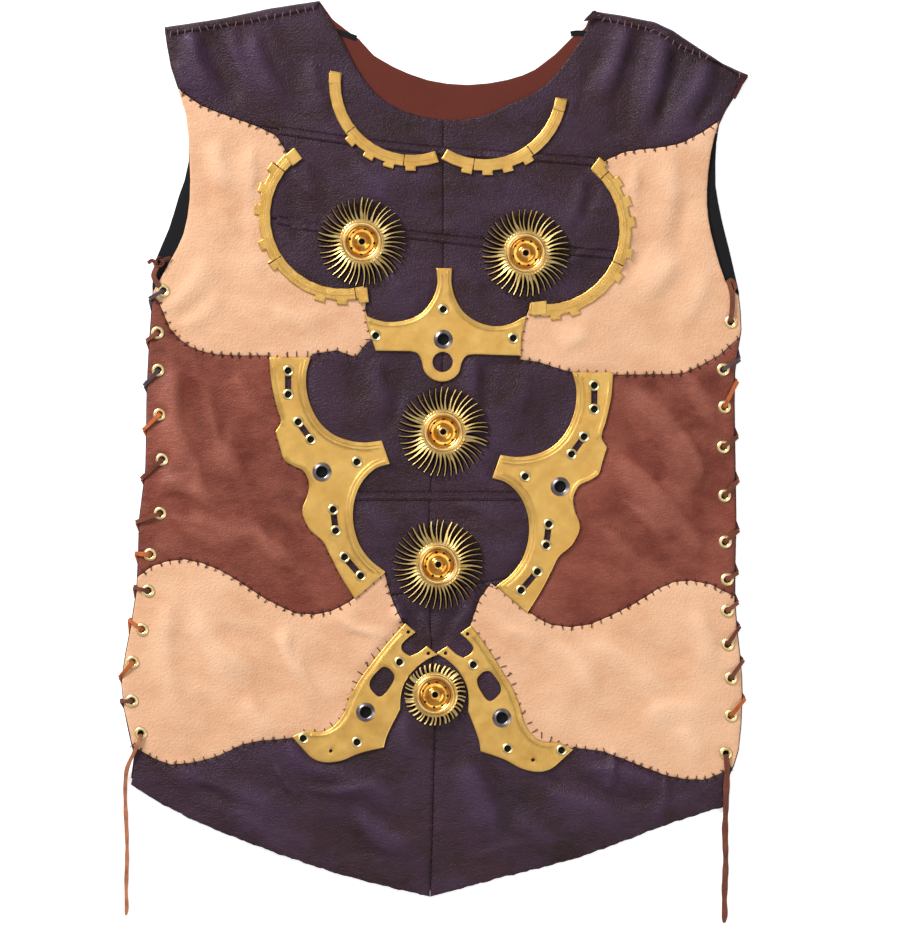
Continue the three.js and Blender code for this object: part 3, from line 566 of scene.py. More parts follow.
# ---- making pieces ----
class Mesher:
    """Gathers points and faces in pattern millimetres, and makes one named piece of them."""

    def __init__(self, *finishes):
        self.finishes = finishes
        self.points = []
        self.faces = []
        self.picked = []
        self.folds = []

    def add(self, points, faces, finish=0, folds=None):
        """Adds points and faces, with the number of their finish, or one for each face."""
        base = sum(len(rows) for rows in self.points)
        points = np.asarray(points, float)
        self.points.append(points)
        self.folds.append(np.zeros(len(points)) if folds is None else folds)
        self.faces.extend([tuple(int(i) + base for i in face) for face in faces])
        picks = [finish] * len(faces) if isinstance(finish, int) else list(finish)
        self.picked.extend(picks)

    def piece(self, name, slot, replaced=(), sharp=40):
        """Makes the piece: smooth up to a sharp angle, on the one body, in place of its solids."""
        points = np.vstack(self.points)
        points[:, 0] -= ORIGIN.x
        points[:, 1] -= ORIGIN.y
        mesh = bpy.data.meshes.new(name)
        mesh.from_pydata((points * MM).tolist(), [], self.faces)
        for finish in self.finishes:
            mesh.materials.append(FINISHES[finish])
        mesh.polygons.foreach_set("material_index", np.array(self.picked, dtype=np.int32))
        # The fold value at each point: the leather shaders paint sheen on its ridges and shade in its
        # troughs from it, the brass shader a highlight on its ribs and its dark joints.
        fold = mesh.attributes.new("fold", "FLOAT", "POINT")
        fold.data.foreach_set("value", np.concatenate(self.folds).astype(np.float32))
        mesh.polygons.foreach_set("use_smooth", np.ones(len(self.faces), dtype=bool))
        mesh.set_sharp_from_angle(angle=math.radians(sharp))
        mesh.validate()
        made = bpy.data.objects.new(name, mesh)
        bpy.context.scene.collection.objects.link(made)
        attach(made, "root")
        if replaced:
            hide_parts(*replaced)
        return made


def triangulated(loops, spacing, extra=()):
    """Points and triangles that fill the first outline but not the others, with extra points."""
    outline = loops[0]
    low, high = outline.min(0), outline.max(0)
    rows = np.arange(low[1], high[1], spacing * 0.866)
    lattice = []
    for k, y in enumerate(rows):
        xs = np.arange(low[0] + (k % 2) * spacing / 2, high[0], spacing)
        lattice.append(np.stack([xs, np.full(len(xs), y)], 1))
    lattice = np.vstack(lattice)
    lattice = lattice[inside(lattice, outline)]
    extra = np.vstack(extra) if len(extra) else np.empty((0, 2))
    if len(extra):
        extra = extra[inside(extra, outline)]
        from_extra = nearest_gap(lattice, extra, spacing)
        lattice = lattice[from_extra > 0.45 * spacing]
    fixed, edges = [], []
    for loop in loops:
        base = len(fixed)
        fixed.extend(loop.tolist())
        edges.extend((base + i, base + (i + 1) % len(loop)) for i in range(len(loop)))
        lattice = lattice[distance_to(lattice, loop)[0] > 0.45 * spacing]
        if len(extra):
            extra = extra[distance_to(extra, loop)[0] > 0.12]
    for hole in loops[1:]:
        lattice = lattice[~inside(lattice, hole)]
        if len(extra):
            extra = extra[~inside(extra, hole)]
    everything = [Vector(p) for p in (*fixed, *extra.tolist(), *lattice.tolist())]
    points, _, faces, *_ = delaunay_2d_cdt(everything, edges, [], 1, 1e-4)
    points = np.array([tuple(p) for p in points])
    faces = np.array([f for f in faces if len(f) == 3])
    if len(loops) > 1:
        middles = points[faces].mean(1)
        in_hole = np.zeros(len(faces), bool)
        for hole in loops[1:]:
            in_hole |= inside(middles, hole)
        faces = faces[~in_hole]
    a, b, c = points[faces[:, 0]], points[faces[:, 1]], points[faces[:, 2]]
    turned = (b[:, 0] - a[:, 0]) * (c[:, 1] - a[:, 1]) - (b[:, 1] - a[:, 1]) * (c[:, 0] - a[:, 0])
    faces[turned < 0] = faces[turned < 0][:, ::-1]
    used = np.unique(faces)
    renumber = np.full(len(points), -1)
    renumber[used] = np.arange(len(used))
    return points[used], renumber[faces]


def nearest_gap(points, others, reach):
    """How far each point lies from the nearest of the others, up to about reach."""
    table = {}
    for other in others:
        table.setdefault((int(other[0] // reach), int(other[1] // reach)), []).append(other)
    gaps = np.full(len(points), reach)
    for i, (x, y) in enumerate(points):
        column, row = int(x // reach), int(y // reach)
        for p in range(column - 1, column + 2):
            for q in range(row - 1, row + 2):
                for ox, oy in table.get((p, q), ()):
                    gap = math.hypot(x - ox, y - oy)
                    if gap < gaps[i]:
                        gaps[i] = gap
    return gaps


def slab(made, points, faces, top, under, folds, finishes=(0, 1, 0)):
    """Adds a closed sheet to a Mesher: a top and an underside at their heights, and side walls."""
    faces = np.asarray(faces).tolist()
    count = len(points)
    upper = np.column_stack([points, top])
    lower = np.column_stack([points, under])
    seen = {}
    for a, b, c in faces:
        for edge in ((a, b), (b, c), (c, a)):
            seen[edge] = True
    rim = [(a, b) for a, b in seen if (b, a) not in seen]
    walls = [(a, a + count, b + count, b) for a, b in rim]
    below = [(c + count, b + count, a + count) for a, b, c in faces]
    picks = [finishes[0]] * len(faces) + [finishes[1]] * len(walls) + [finishes[2]] * len(below)
    every = [tuple(f) for f in faces] + walls + below
    made.add(np.vstack([upper, lower]), every, picks, np.concatenate([folds, folds]))


def inset_rows(loop, insets):
    """Rows of points just inside an outline, to carry its rounded edge."""
    ahead = np.roll(loop, -1, 0) - np.roll(loop, 1, 0)
    inward = np.stack([-ahead[:, 1], ahead[:, 0]], 1)
    inward /= np.maximum(np.linalg.norm(inward, axis=1, keepdims=True), 1e-9)
    rows = []
    for inset in insets:
        row = loop + inward * inset
        rows.append(row[distance_to(row, loop)[0] > 0.8 * inset])
    return rows


# ---- folds of the front ----
# Each fold: from, to, half its width, and its height in millimetres, less than 0 for a trough.
FOLDS = [
    # left shoulder
    (-196, 690, -176, 640, 9, 2.6), (-182, 690, -160, 634, 7, -1.5), (-164, 694, -146, 646, 8, 1.3),
    (-148, 690, -120, 634, 10, 1.8), (-128, 698, -104, 652, 7, -1.0), (-100, 668, -86, 622, 8, 0.9),
    (-206, 668, -196, 644, 6, 1.0),
    # right shoulder
    (152, 694, 130, 640, 9, 2.2), (166, 692, 150, 606, 8, -1.8), (182, 684, 166, 618, 9, 2.6),
    (196, 676, 178, 610, 7, -1.9), (218, 668, 190, 614, 10, 2.2), (232, 650, 204, 614, 7, -1.2),
    (132, 676, 108, 626, 8, -1.0), (118, 668, 96, 618, 8, 0.9),
    # chest, either side of the centre seam
    (-113, 578, -96, 560, 2.8, 0.8), (-106, 584, -84, 570, 3, -0.5), (96, 500, 130, 520, 4, 0.6),
    (18, 598, 52, 560, 5, 0.6), (26, 590, 58, 556, 4, -0.4), (12, 574, 34, 548, 4, 0.4),
    (118, 574, 104, 536, 6, 0.8), (134, 576, 118, 540, 6, -0.7), (-104, 588, -92, 552, 6, 0.6),
    (-64, 590, -30, 562, 7, 0.6), (-118, 560, -112, 516, 5, -0.5),
    (-40, 500, -22, 486, 5, 0.6), (20, 506, 36, 480, 5, 0.6),
    # bust patches
    (-176, 604, -166, 566, 10, 1.1), (-148, 600, -142, 556, 8, 0.9), (-160, 560, -158, 512, 9, -0.6),
    (-214, 470, -182, 514, 11, 1.2), (-206, 456, -170, 484, 8, 0.9), (-130, 470, -90, 462, 10, 0.7),
    (-190, 600, -186, 540, 8, -0.6), (-140, 500, -110, 480, 9, -0.5),
    (160, 584, 150, 552, 8, 1.0), (186, 590, 178, 520, 12, 1.1), (200, 560, 196, 506, 9, -0.7),
    (168, 526, 150, 492, 12, -1.0), (190, 510, 160, 480, 12, 1.2), (216, 500, 190, 452, 11, 0.9),
    (120, 452, 96, 440, 8, 0.7),
    # waist
    (-46, 430, -40, 386, 9, 1.0), (-28, 414, -44, 366, 6, -0.8), (-70, 426, -58, 392, 8, -0.6),
    (30, 430, 24, 384, 8, 1.1), (44, 428, 40, 380, 7, -0.8), (72, 420, 60, 380, 9, 0.8),
    (30, 340, 66, 306, 8, 0.6), (14, 314, 58, 298, 5, 0.6), (18, 304, 62, 288, 5, -0.5),
    (24, 298, 60, 276, 5, 0.5), (-56, 312, -30, 296, 7, 0.5),
    (20, 316, 50, 306, 2.2, 0.4), (24, 309, 58, 297, 2.2, -0.35), (30, 303, 62, 290, 2.2, 0.4),
    (22, 299, 48, 288, 2, 0.35), (34, 293, 60, 281, 2.2, -0.3), (-62, 352, -44, 328, 4, 0.5),
    # belly, gathered above the lowest plates
    (-30, 236, -14, 206, 5, 1.0), (-22, 232, -8, 204, 4, -0.8), (-12, 226, 0, 202, 5, 0.9),
    (26, 236, 10, 212, 5, 0.9), (18, 228, 6, 206, 4, -0.8), (-38, 230, -20, 220, 5, 0.7),
    (-34, 242, -20, 210, 3, 0.8), (30, 242, 18, 212, 3, 0.8), (2, 232, -2, 204, 3, 0.6),
    # side fronts
    (-212, 420, -196, 336, 10, 1.6), (-198, 416, -184, 330, 8, -1.0), (-184, 400, -152, 330, 11, 1.4),
    (-218, 340, -180, 318, 8, 1.0), (-216, 322, -176, 300, 7, -0.8), (-196, 308, -146, 288, 9, 1.2),
    (-150, 300, -112, 270, 9, 0.9), (-160, 420, -140, 380, 9, 0.8), (-206, 298, -164, 282, 6, 0.7),
    (-128, 282, -96, 250, 7, 0.8), (-226, 282, -196, 274, 6, 0.6),
    (-208, 416, -194, 344, 4.4, 0.8), (-178, 408, -172, 352, 5, -0.8), (-224, 332, -198, 338, 4, 0.8),
    (-222, 318, -192, 321, 3.6, -0.6), (-214, 306, -182, 300, 4, 0.7), (-192, 352, -178, 304, 5, 0.9),
    (-140, 292, -122, 262, 5, 0.7), (-126, 300, -104, 262, 4.4, -0.6), (196, 372, 214, 330, 4.6, 0.8),
    (176, 342, 206, 300, 5, -0.7), (150, 316, 182, 288, 4.6, 0.8),
    (160, 404, 208, 336, 12, 1.8), (150, 384, 190, 326, 8, -1.1), (148, 350, 196, 292, 11, 1.5),
    (140, 330, 170, 284, 8, -0.9), (200, 420, 220, 370, 9, 1.1), (130, 296, 160, 264, 9, 1.0),
    (180, 314, 214, 272, 9, 0.9), (166, 290, 196, 262, 7, -0.7),
    # hip patches
    (-214, 236, -206, 140, 12, 1.1), (-194, 226, -150, 176, 13, 1.3), (-172, 214, -132, 196, 9, -0.7),
    (-122, 214, -110, 170, 9, 1.3), (-134, 206, -124, 160, 8, -0.8), (-152, 158, -128, 130, 10, 1.0),
    (-110, 196, -92, 150, 7, 0.8), (-76, 222, -44, 210, 5, 0.9), (-70, 210, -50, 204, 4, -0.6),
    (-186, 160, -176, 120, 11, -0.8), (-96, 220, -60, 232, 6, 0.5),
    (120, 206, 188, 154, 14, 1.4), (150, 212, 202, 186, 9, -0.8), (166, 146, 222, 150, 12, 1.2),
    (96, 204, 128, 160, 9, 1.0), (110, 168, 150, 130, 10, -0.7), (208, 230, 216, 180, 10, 1.0),
    (56, 214, 84, 204, 5, 0.8), (196, 136, 212, 108, 9, 0.8),
    # peplum
    (110, 118, 86, 98, 3.2, -0.8), (142, 116, 134, 82, 3.4, 1.5), (184, 96, 174, 58, 4.2, 0.9),
    (88, 98, 132, 78, 4.4, -0.7), (-128, 104, -108, 81, 3.6, 1.1), (-102, 86, -44, 93, 4.2, 0.9),
    (-196, 92, -152, 63, 5, -0.6), (30, 30, 78, 44, 5, 0.5), (-30, 30, -80, 52, 5, -0.5),
    (-214, 106, -116, 70, 13, 1.8), (-196, 88, -140, 64, 8, -1.0), (-118, 122, -82, 98, 9, 1.2),
    (-86, 106, -24, 76, 11, 1.3), (-64, 66, -16, 40, 11, 1.6), (-90, 60, -60, 30, 8, -0.8),
    (-160, 70, -110, 44, 9, 0.9), (-24, 148, -20, 108, 6, 0.8), (-40, 96, -26, 70, 6, -0.5),
    (22, 108, 46, 40, 12, 1.5), (40, 108, 70, 66, 8, -0.8), (120, 104, 190, 84, 8, 1.6),
    (116, 92, 188, 74, 5, -0.9), (90, 86, 150, 56, 11, 1.3), (150, 66, 210, 74, 8, 0.9),
    (64, 62, 96, 36, 9, 0.8), (28, 150, 34, 112, 6, 0.7),
]
FOLD_GAIN = 2.0
# Long soft waves of the whole front: direction in degrees, wavelength, height, phase.
WAVES = [
    (18, 118, 0.5, 0.4), (74, 92, 0.4, 2.1), (133, 67, 0.26, 4.0), (101, 43, 0.12, 1.0),
    (52, 31, 0.08, 5.2),
]
WHEELS = {  # centre x, y, radius to the blades' tips, how many blades
    "turbine_1": (-60, 524, 35.4, 42), "turbine_2": (71, 515, 35, 42), "turbine_3": (5, 372, 36, 42),
    "turbine_4": (1, 266, 36, 42), "turbine_5": (-1.5, 162, 24.8, 38),
}
PLATES = [
    "neck_arc_left", "neck_arc_right", "bust_arc_left", "bust_arc_right", "heart_plate",
    "hip_plate_left", "hip_plate_right", "tail_plate_left", "tail_plate_right",
]
# The edges of the plates, each run from one corner to the next; the right plates are turned over.
PLATE_RUNS = {
    "heart_plate": [
        [(-0.5, 503), (12, 503)],
        [
            (12, 503), (11.6, 491.4), (14.8, 478.7), (21.6, 467.6), (33, 459.8), (45.7, 456.6),
            (58.4, 458.3), (71.4, 465),
        ],
        [(71.4, 465), (67.6, 448), (67, 433)],
        [(67, 433), (30, 434.2)],
        [
            (30, 434.2), (23.4, 433), (19.8, 428), (17.5, 420), (12, 414.6), (4, 412.3),
            (-4.2, 414.6), (-10, 420.4), (-12.4, 429), (-15.5, 434.6), (-21, 436.6),
        ],
        [(-21, 436.6), (-49, 437)],
        [(-49, 437), (-54, 452), (-58, 466)],
        [
            (-58, 466), (-50.7, 462.5), (-39.8, 460), (-25.6, 461.2), (-12.8, 466.7), (-4, 477.4),
            (0.2, 489.6), (-0.5, 503),
        ],
    ],
    "hip_plate": [
        [(-134, 431.6), (-101.4, 431.6)],
        [
            (-101.4, 431.6), (-104.6, 418), (-103.2, 400), (-95.6, 382.3), (-84.4, 371),
            (-71, 365.4), (-57.6, 363.6), (-44.2, 365.1),
        ],
        [(-44.2, 365.1), (-37.8, 346.6)],
        [
            (-37.8, 346.6), (-49, 343), (-59.8, 332.4), (-66, 317.6), (-67, 300), (-62, 282),
            (-53.1, 269.6), (-41.2, 260.2),
        ],
        [(-41.2, 260.2), (-66, 238.8)],
        [
            (-66, 238.8), (-77.6, 257.8), (-85.4, 273), (-91, 284), (-102, 294.3), (-107.8, 308.7),
            (-103.4, 322), (-102.6, 332), (-107, 341), (-115, 345), (-122.4, 350), (-125.6, 360),
            (-129.2, 372),
        ],
        [(-129.2, 372), (-125, 380), (-128.4, 393), (-132.6, 413), (-134, 431.6)],
    ],
    "tail_plate": [
        [(-25.3, 219), (-17.2, 212)],
        [(-17.2, 212), (-25.6, 205.4), (-28.6, 201.4), (-27.4, 196.8), (-21.6, 192.8)],
        [(-21.6, 192.8), (-15.2, 195.4), (-8, 200.8)],
        [(-8, 200.8), (0.4, 194)],
        [(0.4, 194), (-8.6, 189.8), (-18.8, 181.6), (-26.4, 170.4), (-29, 160.8), (-29.6, 150.4)],
        [(-29.6, 150.4), (-37.4, 135.2), (-40.8, 127.2), (-42.6, 119.8)],
        [
            (-42.6, 119.8), (-61.6, 115.2), (-77.6, 109), (-91, 108), (-100, 111.4), (-108, 119.4),
            (-116, 128.4),
        ],
        [
            (-116, 128.4), (-105, 132.6), (-93.6, 132.2), (-87.2, 133.6), (-80.6, 138.6),
            (-74.6, 146.6), (-69.8, 159), (-63, 172), (-53.6, 185), (-40.8, 201.4), (-25.3, 219),
        ],
    ],
}
TAIL_WINDOW = [
    (-49, 179.6), (-43.5, 184.8), (-38, 183.2), (-33.6, 177.4), (-35.4, 170.6), (-43, 161), (-47.5, 160),
    (-54.2, 167.4), (-53.8, 173.4),
]
RIGHT_PLATES = {  # degrees, the place that each is turned about, and how far it is moved
    "hip_plate": (-0.2, (90, 339), 6.5, -11.7),
    "tail_plate": (-5.7, (53, 155), -4.4, -4.2),
}


def mirrored(kind, x, y):
    """A place on a left plate, on the right plate of its kind."""
    turn, (cx, cy), dx, dy = RIGHT_PLATES[kind]
    angle = math.radians(turn)
    px, py = -x - cx, y - cy
    return (
        cx + px * math.cos(angle) - py * math.sin(angle) + dx,
        cy + px * math.sin(angle) + py * math.cos(angle) + dy,
    )


def plate_outlines(name):
    """A plate's outline and its holes: arcs from their solids, the others from their runs."""
    cut = sections(name, PLATE_UNDER + 0.4)
    kind = name.removesuffix("_left").removesuffix("_right")
    if kind not in PLATE_RUNS:
        return [smooth_loop(cut[0], 1.2)]
    rows = np.vstack([smooth_line(run, 1.2)[:-1] for run in PLATE_RUNS[kind]])
    window = rounded(np.array(TAIL_WINDOW), 2)
    if name.endswith("_right"):
        rows = np.array([mirrored(kind, x, y) for x, y in rows])
        window = np.array([mirrored(kind, x, y) for x, y in window])
    loops = [rows if area_of(rows) > 0 else rows[::-1]]
    for hole in cut[1:]:
        middle = hole.mean(0)
        radii = np.linalg.norm(hole - middle, axis=1)
        if radii.max() - radii.min() < 0.8:
            loops.append(circle(*middle, radii.mean(), 28))
        elif kind == "tail_plate":
            loops.append(window)
        else:
            loops.append(hole)
    return loops


plate_loops = {name: plate_outlines(name) for name in PLATES}


def middle_of(name):
    """The middle of a node's footprint, in the pattern."""
    low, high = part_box(name)
    return (low + high).xy / (2 * MM) + ORIGIN


eyelet_places = {name: middle_of(name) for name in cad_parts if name.startswith("eyelet_")}
CLEAR = 6.5  # how far from a fitting the leather is free to fold
UNDER_BLADES = 4  # how far in under a wheel's blades the leather may still fold
EYELET_PAD = 5  # radius of the flat leather under a side eyelet
DEEPEST = -1.15  # how far a trough may sink towards the back


def near_fittings(points):
    """0 under a plate, wheel or side eyelet, and 1 where the leather is free to fold."""
    free = np.ones(len(points))
    for x, y, tip, _ in WHEELS.values():
        gap = np.hypot(points[:, 0] - x, points[:, 1] - y) - tip + UNDER_BLADES
        free = np.minimum(free, eased(gap, 0, CLEAR))
    for x, y in eyelet_places.values():
        gap = np.hypot(points[:, 0] - x, points[:, 1] - y) - EYELET_PAD
        free = np.minimum(free, eased(gap, 0, 0.6 * CLEAR))
    for loops in plate_loops.values():
        outline = loops[0]
        low, high = outline.min(0) - CLEAR, outline.max(0) + CLEAR
        near = np.flatnonzero(((points > low) & (points < high)).all(1))
        if len(near) == 0:
            continue
        gap = distance_to(points[near], outline)[0]
        gap[inside(points[near], outline)] = 0
        free[near] = np.minimum(free[near], eased(gap, 0.5, CLEAR))
    return free


def fold_height(points):
    """How far the front's folds lift or sink it at each point, in millimetres."""
    lift = np.zeros(len(points))
    for x0, y0, x1, y1, half, height in FOLDS:
        height *= FOLD_GAIN
        along = np.array([x1 - x0, y1 - y0], float)
        length = np.linalg.norm(along)
        along /= length
        offset = points - (x0, y0)
        s = offset @ along / length
        bow = 0.07 * length * np.sin(math.pi * np.clip(s, 0, 1)) * math.copysign(1, x0 * height)
        t = offset @ np.array([-along[1], along[0]]) - bow
        steep = np.where(t > 0, 0.75, 1.25) * half * (0.75 + 0.35 * np.clip(s, 0, 1))
        ends = eased(s, -0.16, 0.22) * (1 - eased(s, 0.6, 1.12))
        lift += height * ends * np.exp(-((t / steep) ** 2))
    for turn, wavelength, height, phase in WAVES:
        heading = math.radians(turn)
        run = points @ np.array([math.cos(heading), math.sin(heading)])
        lift += height * np.sin(2 * math.pi * run / wavelength + phase)
    return lift


def front_lift(points):
    """The lift that shows: none under the fittings, and never down into the back."""
    lift = fold_height(points) * near_fittings(points)
    return np.maximum(lift, DEEPEST + 0.2 * np.tanh(lift))


# ---- leather panels ----
AUBERGINE = [
    f"front_{band}_{side}"
    for side in ("left", "right")
    for band in ("yoke", "chest", "waist", "belly", "peplum")
]
PATCHES = ["bust_patch_left", "bust_patch_right", "hip_patch_left", "hip_patch_right"]
SIDE_FRONTS = ["side_front_left", "side_front_right"]
panel_loops = {
    name: sections(name, FRONT_UNDER + 0.7)[0] for name in (*AUBERGINE, *PATCHES, *SIDE_FRONTS)
}
STITCH_PITCH = 6.8
AT_SEAM = 1.0  # a gap to the next panel that still counts as sewn
UNDER_PLATE = 1.2  # how far the leather runs on under a plate's edge
PLATE_REACH = 5.0  # how far an outline may be moved to do so
HOLE = 3.1  # radius of the holes for the side eyelets
overcast = []  # each: the place on a seam, the way across it and the piece's own side


def along_seams(name, outline):
    """Stitch places on the stretches of a patch's outline that are sewn to another panel."""
    others = [loop for other, loop in panel_loops.items() if other != name]
    gap = np.min([distance_to(outline, loop)[0] for loop in others], axis=0)
    sewn = gap < AT_SEAM
    steps = np.linalg.norm(np.roll(outline, -1, 0) - outline, axis=1)
    places, since = [], STITCH_PITCH
    for i, (sewn_here, step) in enumerate(zip(sewn, steps)):
        since += step
        if sewn_here and since >= STITCH_PITCH:
            places.append(i)
            since = rng.uniform(-0.7, 0.7)
        if not sewn_here:
            since = 0.5 * STITCH_PITCH
    return places


def outward_at(outline, i):
    """The way straight out of an anticlockwise outline at one of its points."""
    along = outline[(i + 1) % len(outline)] - outline[i - 1]
    return np.array([along[1], -along[0]]) / np.linalg.norm(along)


def pinched(outline, places):
    """The outline drawn in a little at each stitch."""
    moved = outline.copy()
    for i in places:
        for k in (-1, 0, 1):
            j = (i + k) % len(outline)
            moved[j] -= outward_at(outline, j) * (0.4 if k == 0 else 0.1)
    return moved


def drawn_to_plates(outline):
    """The outline moved out where it runs next to a plate, so that the plate covers its edge."""
    outward = np.array([outward_at(outline, i) for i in range(len(outline))])
    moved = outline.copy()
    for loops in plate_loops.values():
        gap = distance_to(outline, loops[0])[0]
        near = (gap < PLATE_REACH) & ~inside(outline, loops[0])
        covered = outline + outward * np.minimum(gap + UNDER_PLATE, PLATE_REACH)[:, None]
        near &= inside(covered, loops[0])
        moved[near] = covered[near]
    return moved


def ragged_hem(outline):
    """The hem is a raw cut, so its line wanders by half a millimetre."""
    moved = outline.copy()
    for i, (x, y) in enumerate(outline):
        hem = min(1.0, max(0.0, (95 - y) / 20)) if abs(x) > 12 else 0.0
        wander = 0.45 * math.sin(x / 2.3) * math.sin(x / 5.9 + 1) + rng.uniform(-0.25, 0.25)
        moved[i, 1] += hem * wander
    return moved


def edge_fall(gap):
    """How far a leather edge is rounded down, by the distance from the cut."""
    return 0.62 * np.exp(-gap / 0.5) + 0.26 * np.exp(-((gap / 4.5) ** 2))


def leather_piece(made, outline, holes, top, spacing=3.0):
    """Adds one front panel to a Mesher, with its folds and rounded edges."""
    loops = [outline, *holes]
    points, faces = triangulated(loops, spacing, inset_rows(outline, (0.5, 1.2, 2.4)))
    gap, along = distance_to(points, outline)
    hole_gap = np.full(len(points), 99.0)
    for hole in holes:
        hole_gap = np.minimum(hole_gap, np.hypot(*(points - hole.mean(0)).T) - HOLE)
    lift = front_lift(points)
    pucker = 0.16 * np.sin(2 * math.pi * along / STITCH_PITCH) * np.exp(-((gap / 5) ** 2))
    fall = edge_fall(gap) + 0.3 * np.exp(-((hole_gap / 3.0) ** 2))
    height = top + lift + pucker * near_fittings(points) - fall
    under = np.maximum(FRONT_UNDER, top + lift - LEATHER)
    under = np.minimum(under, height - 0.25)
    # The fold value for the shader: painted sheen on the folds' ridges, painted shade in their troughs
    # and along the cut edge.
    folds = np.clip(lift / 2.4 - 0.5 * np.exp(-gap / 1.3), -1, 1)
    slab(made, points, faces, height, under, folds)


def panel(name, finish, slot, top, edge="raw_edge"):
    """One leather panel of the front, cut to its solid's outline and with its eyelet holes."""
    outline = smooth_loop(panel_loops[name], 2.0)
    places = along_seams(name, outline) if name in PATCHES else []
    for i in places:
        overcast.append((outline[i], outward_at(outline, i)))
    if "peplum" in name:
        outline = ragged_hem(outline)
    outline = pinched(outline, places)
    if name in (*PATCHES, *SIDE_FRONTS):
        outline = drawn_to_plates(outline)
    holes = [
        circle(*place, HOLE, 16)
        for place in eyelet_places.values()
        if inside(np.array([place]), outline)[0]
    ]
    made = Mesher(finish, edge)
    leather_piece(made, outline, holes, top)
    piece = made.piece(name + "_leather", slot, [name])
    flat = [float(v) * MM for v in outline.max(0) - outline.min(0)]
    share = area_of(outline) * MM * MM / (flat[0] * flat[1])


# Felled seams across the dark bands: a strip with a row of stitches along each edge.
FELLED_SEAMS = [
    {
        "name": "yoke",
        "over": ["front_yoke_left", "front_yoke_right"],
        "line": [(-126, 613.5), (-76, 606), (-36, 601), (6, 597), (78, 592), (126, 588.6)],
    },
    {
        "name": "chest",
        "over": ["front_chest_left", "front_chest_right"],
        "line": [(-128, 542), (-96, 535.5), (-29, 530.5), (37, 523.5), (103, 517), (141, 514)],
    },
    {
        "name": "waist",
        "over": ["front_waist_left", "front_waist_right"],
        "line": [(-66, 321), (-30, 321), (30, 321), (66, 321)],
    },
]
FELL_HALF = 3.7  # half a felled seam's width
ROW_AT = 2.7  # from its middle to each row of stitches
ALONG = 1.6  # between two points along it
# Its cross section: offset from the middle, height above the leather, and fold value for the shader:
# painted sheen on its raised middle, painted shade in its stitch grooves and along its edges.
FELL_SECTION = [
    (-FELL_HALF, -0.2, -0.6), (-3.3, 0.6, 0.1), (-ROW_AT, 0.2, -0.5), (-2.0, 0.75, 0.2),
    (-1.0, 0.7, 0.1), (0.0, 0.6, 0.0), (1.0, 0.7, 0.1), (2.0, 0.8, 0.2), (ROW_AT, 0.2, -0.5),
    (3.3, 0.6, 0.1), (FELL_HALF, -0.2, -0.6),
]
THREAD_RISE = 0.22  # of the machine rows above the leather
machine_rows = []


def rows_beside(line, offsets):
    """Lines to the left of a line at each offset."""
    ahead = np.gradient(line, axis=0)
    left = np.stack([-ahead[:, 1], ahead[:, 0]], 1)
    left /= np.linalg.norm(left, axis=1, keepdims=True)
    return [line + left * offset for offset in offsets]


def strip_faces(rows, count):
    """The triangles between rows of points that lie side by side, count in each row."""
    faces = []
    for r in range(rows - 1):
        for i in range(count - 1):
            a = r * count + i
            faces += [(a, a + 1, a + 1 + count), (a, a + 1 + count, a + count)]
    return np.array(faces)


def felled_seam(name, line):
    """The raised strip of one felled seam, over the seam between two bands."""
    line = smooth_line(line, ALONG)
    offsets, raised, folds = np.array(FELL_SECTION).T
    points = np.vstack(rows_beside(line, offsets))
    lift = np.repeat(raised, len(line)) + front_lift(points)
    along = np.tile(np.arange(len(line)) * ALONG, len(offsets))
    middle = np.repeat(1 - (offsets / FELL_HALF) ** 2, len(line))
    lift += 0.1 * middle * np.sin(2 * math.pi * along / 7.3)
    made = Mesher("aubergine", "raw_edge")
    under = np.full(len(points), FRONT_TOP - 0.5)
    folds = np.repeat(folds, len(line))
    slab(made, points, strip_faces(len(offsets), len(line)), FRONT_TOP + lift, under, folds)
    machine_rows.extend(rows_beside(line, (-ROW_AT, ROW_AT)))
    piece = made.piece(name + "_felled_seam", "aubergine_leather")
    length = length_along(line) * MM


# ---- the back ----
def back_panel():
    """The back, seen at the armholes and sides: black inside and aubergine outside."""
    outline = smooth_loop(sections("back_body", BACK_TOP - 0.3)[0], 3.0)
    made = Mesher("black", "black", "aubergine")
    points, faces = triangulated([outline], 7.0, inset_rows(outline, (0.5, 1.4)))
    gap = distance_to(points, outline)[0]
    top = BACK_TOP - 0.5 * np.exp(-gap / 0.5)
    under = 0.4 * np.exp(-gap / 0.5) + 0.02
    slab(made, points, faces, top, under, np.zeros(len(points)), (0, 1, 2))
    piece = made.piece("back_body_leather", "black_leather", ["back_body"])
    area_of(outline) * MM * MM


shoulder_stitches = []  # each: the place on a band's edge and the way out of it
# The neck corner of the right shoulder's band is turned back, and curls out over the neck's edge.
CURLED_CORNER = [
    (125.8, 709.2), (121, 705), (116.8, 700.4), (121, 700.8), (126.5, 702.6), (132.5, 702),
    (131.5, 706.2),
]
# The flesh side turns up along the armhole, below the right shoulder's point.
TURNED_EDGE = [(246, 658.5), (243.6, 651.5), (240.2, 644.5), (237.2, 639)]
BAND_UNDER = FRONT_TOP + 0.3  # the underside of the bands over the shoulders


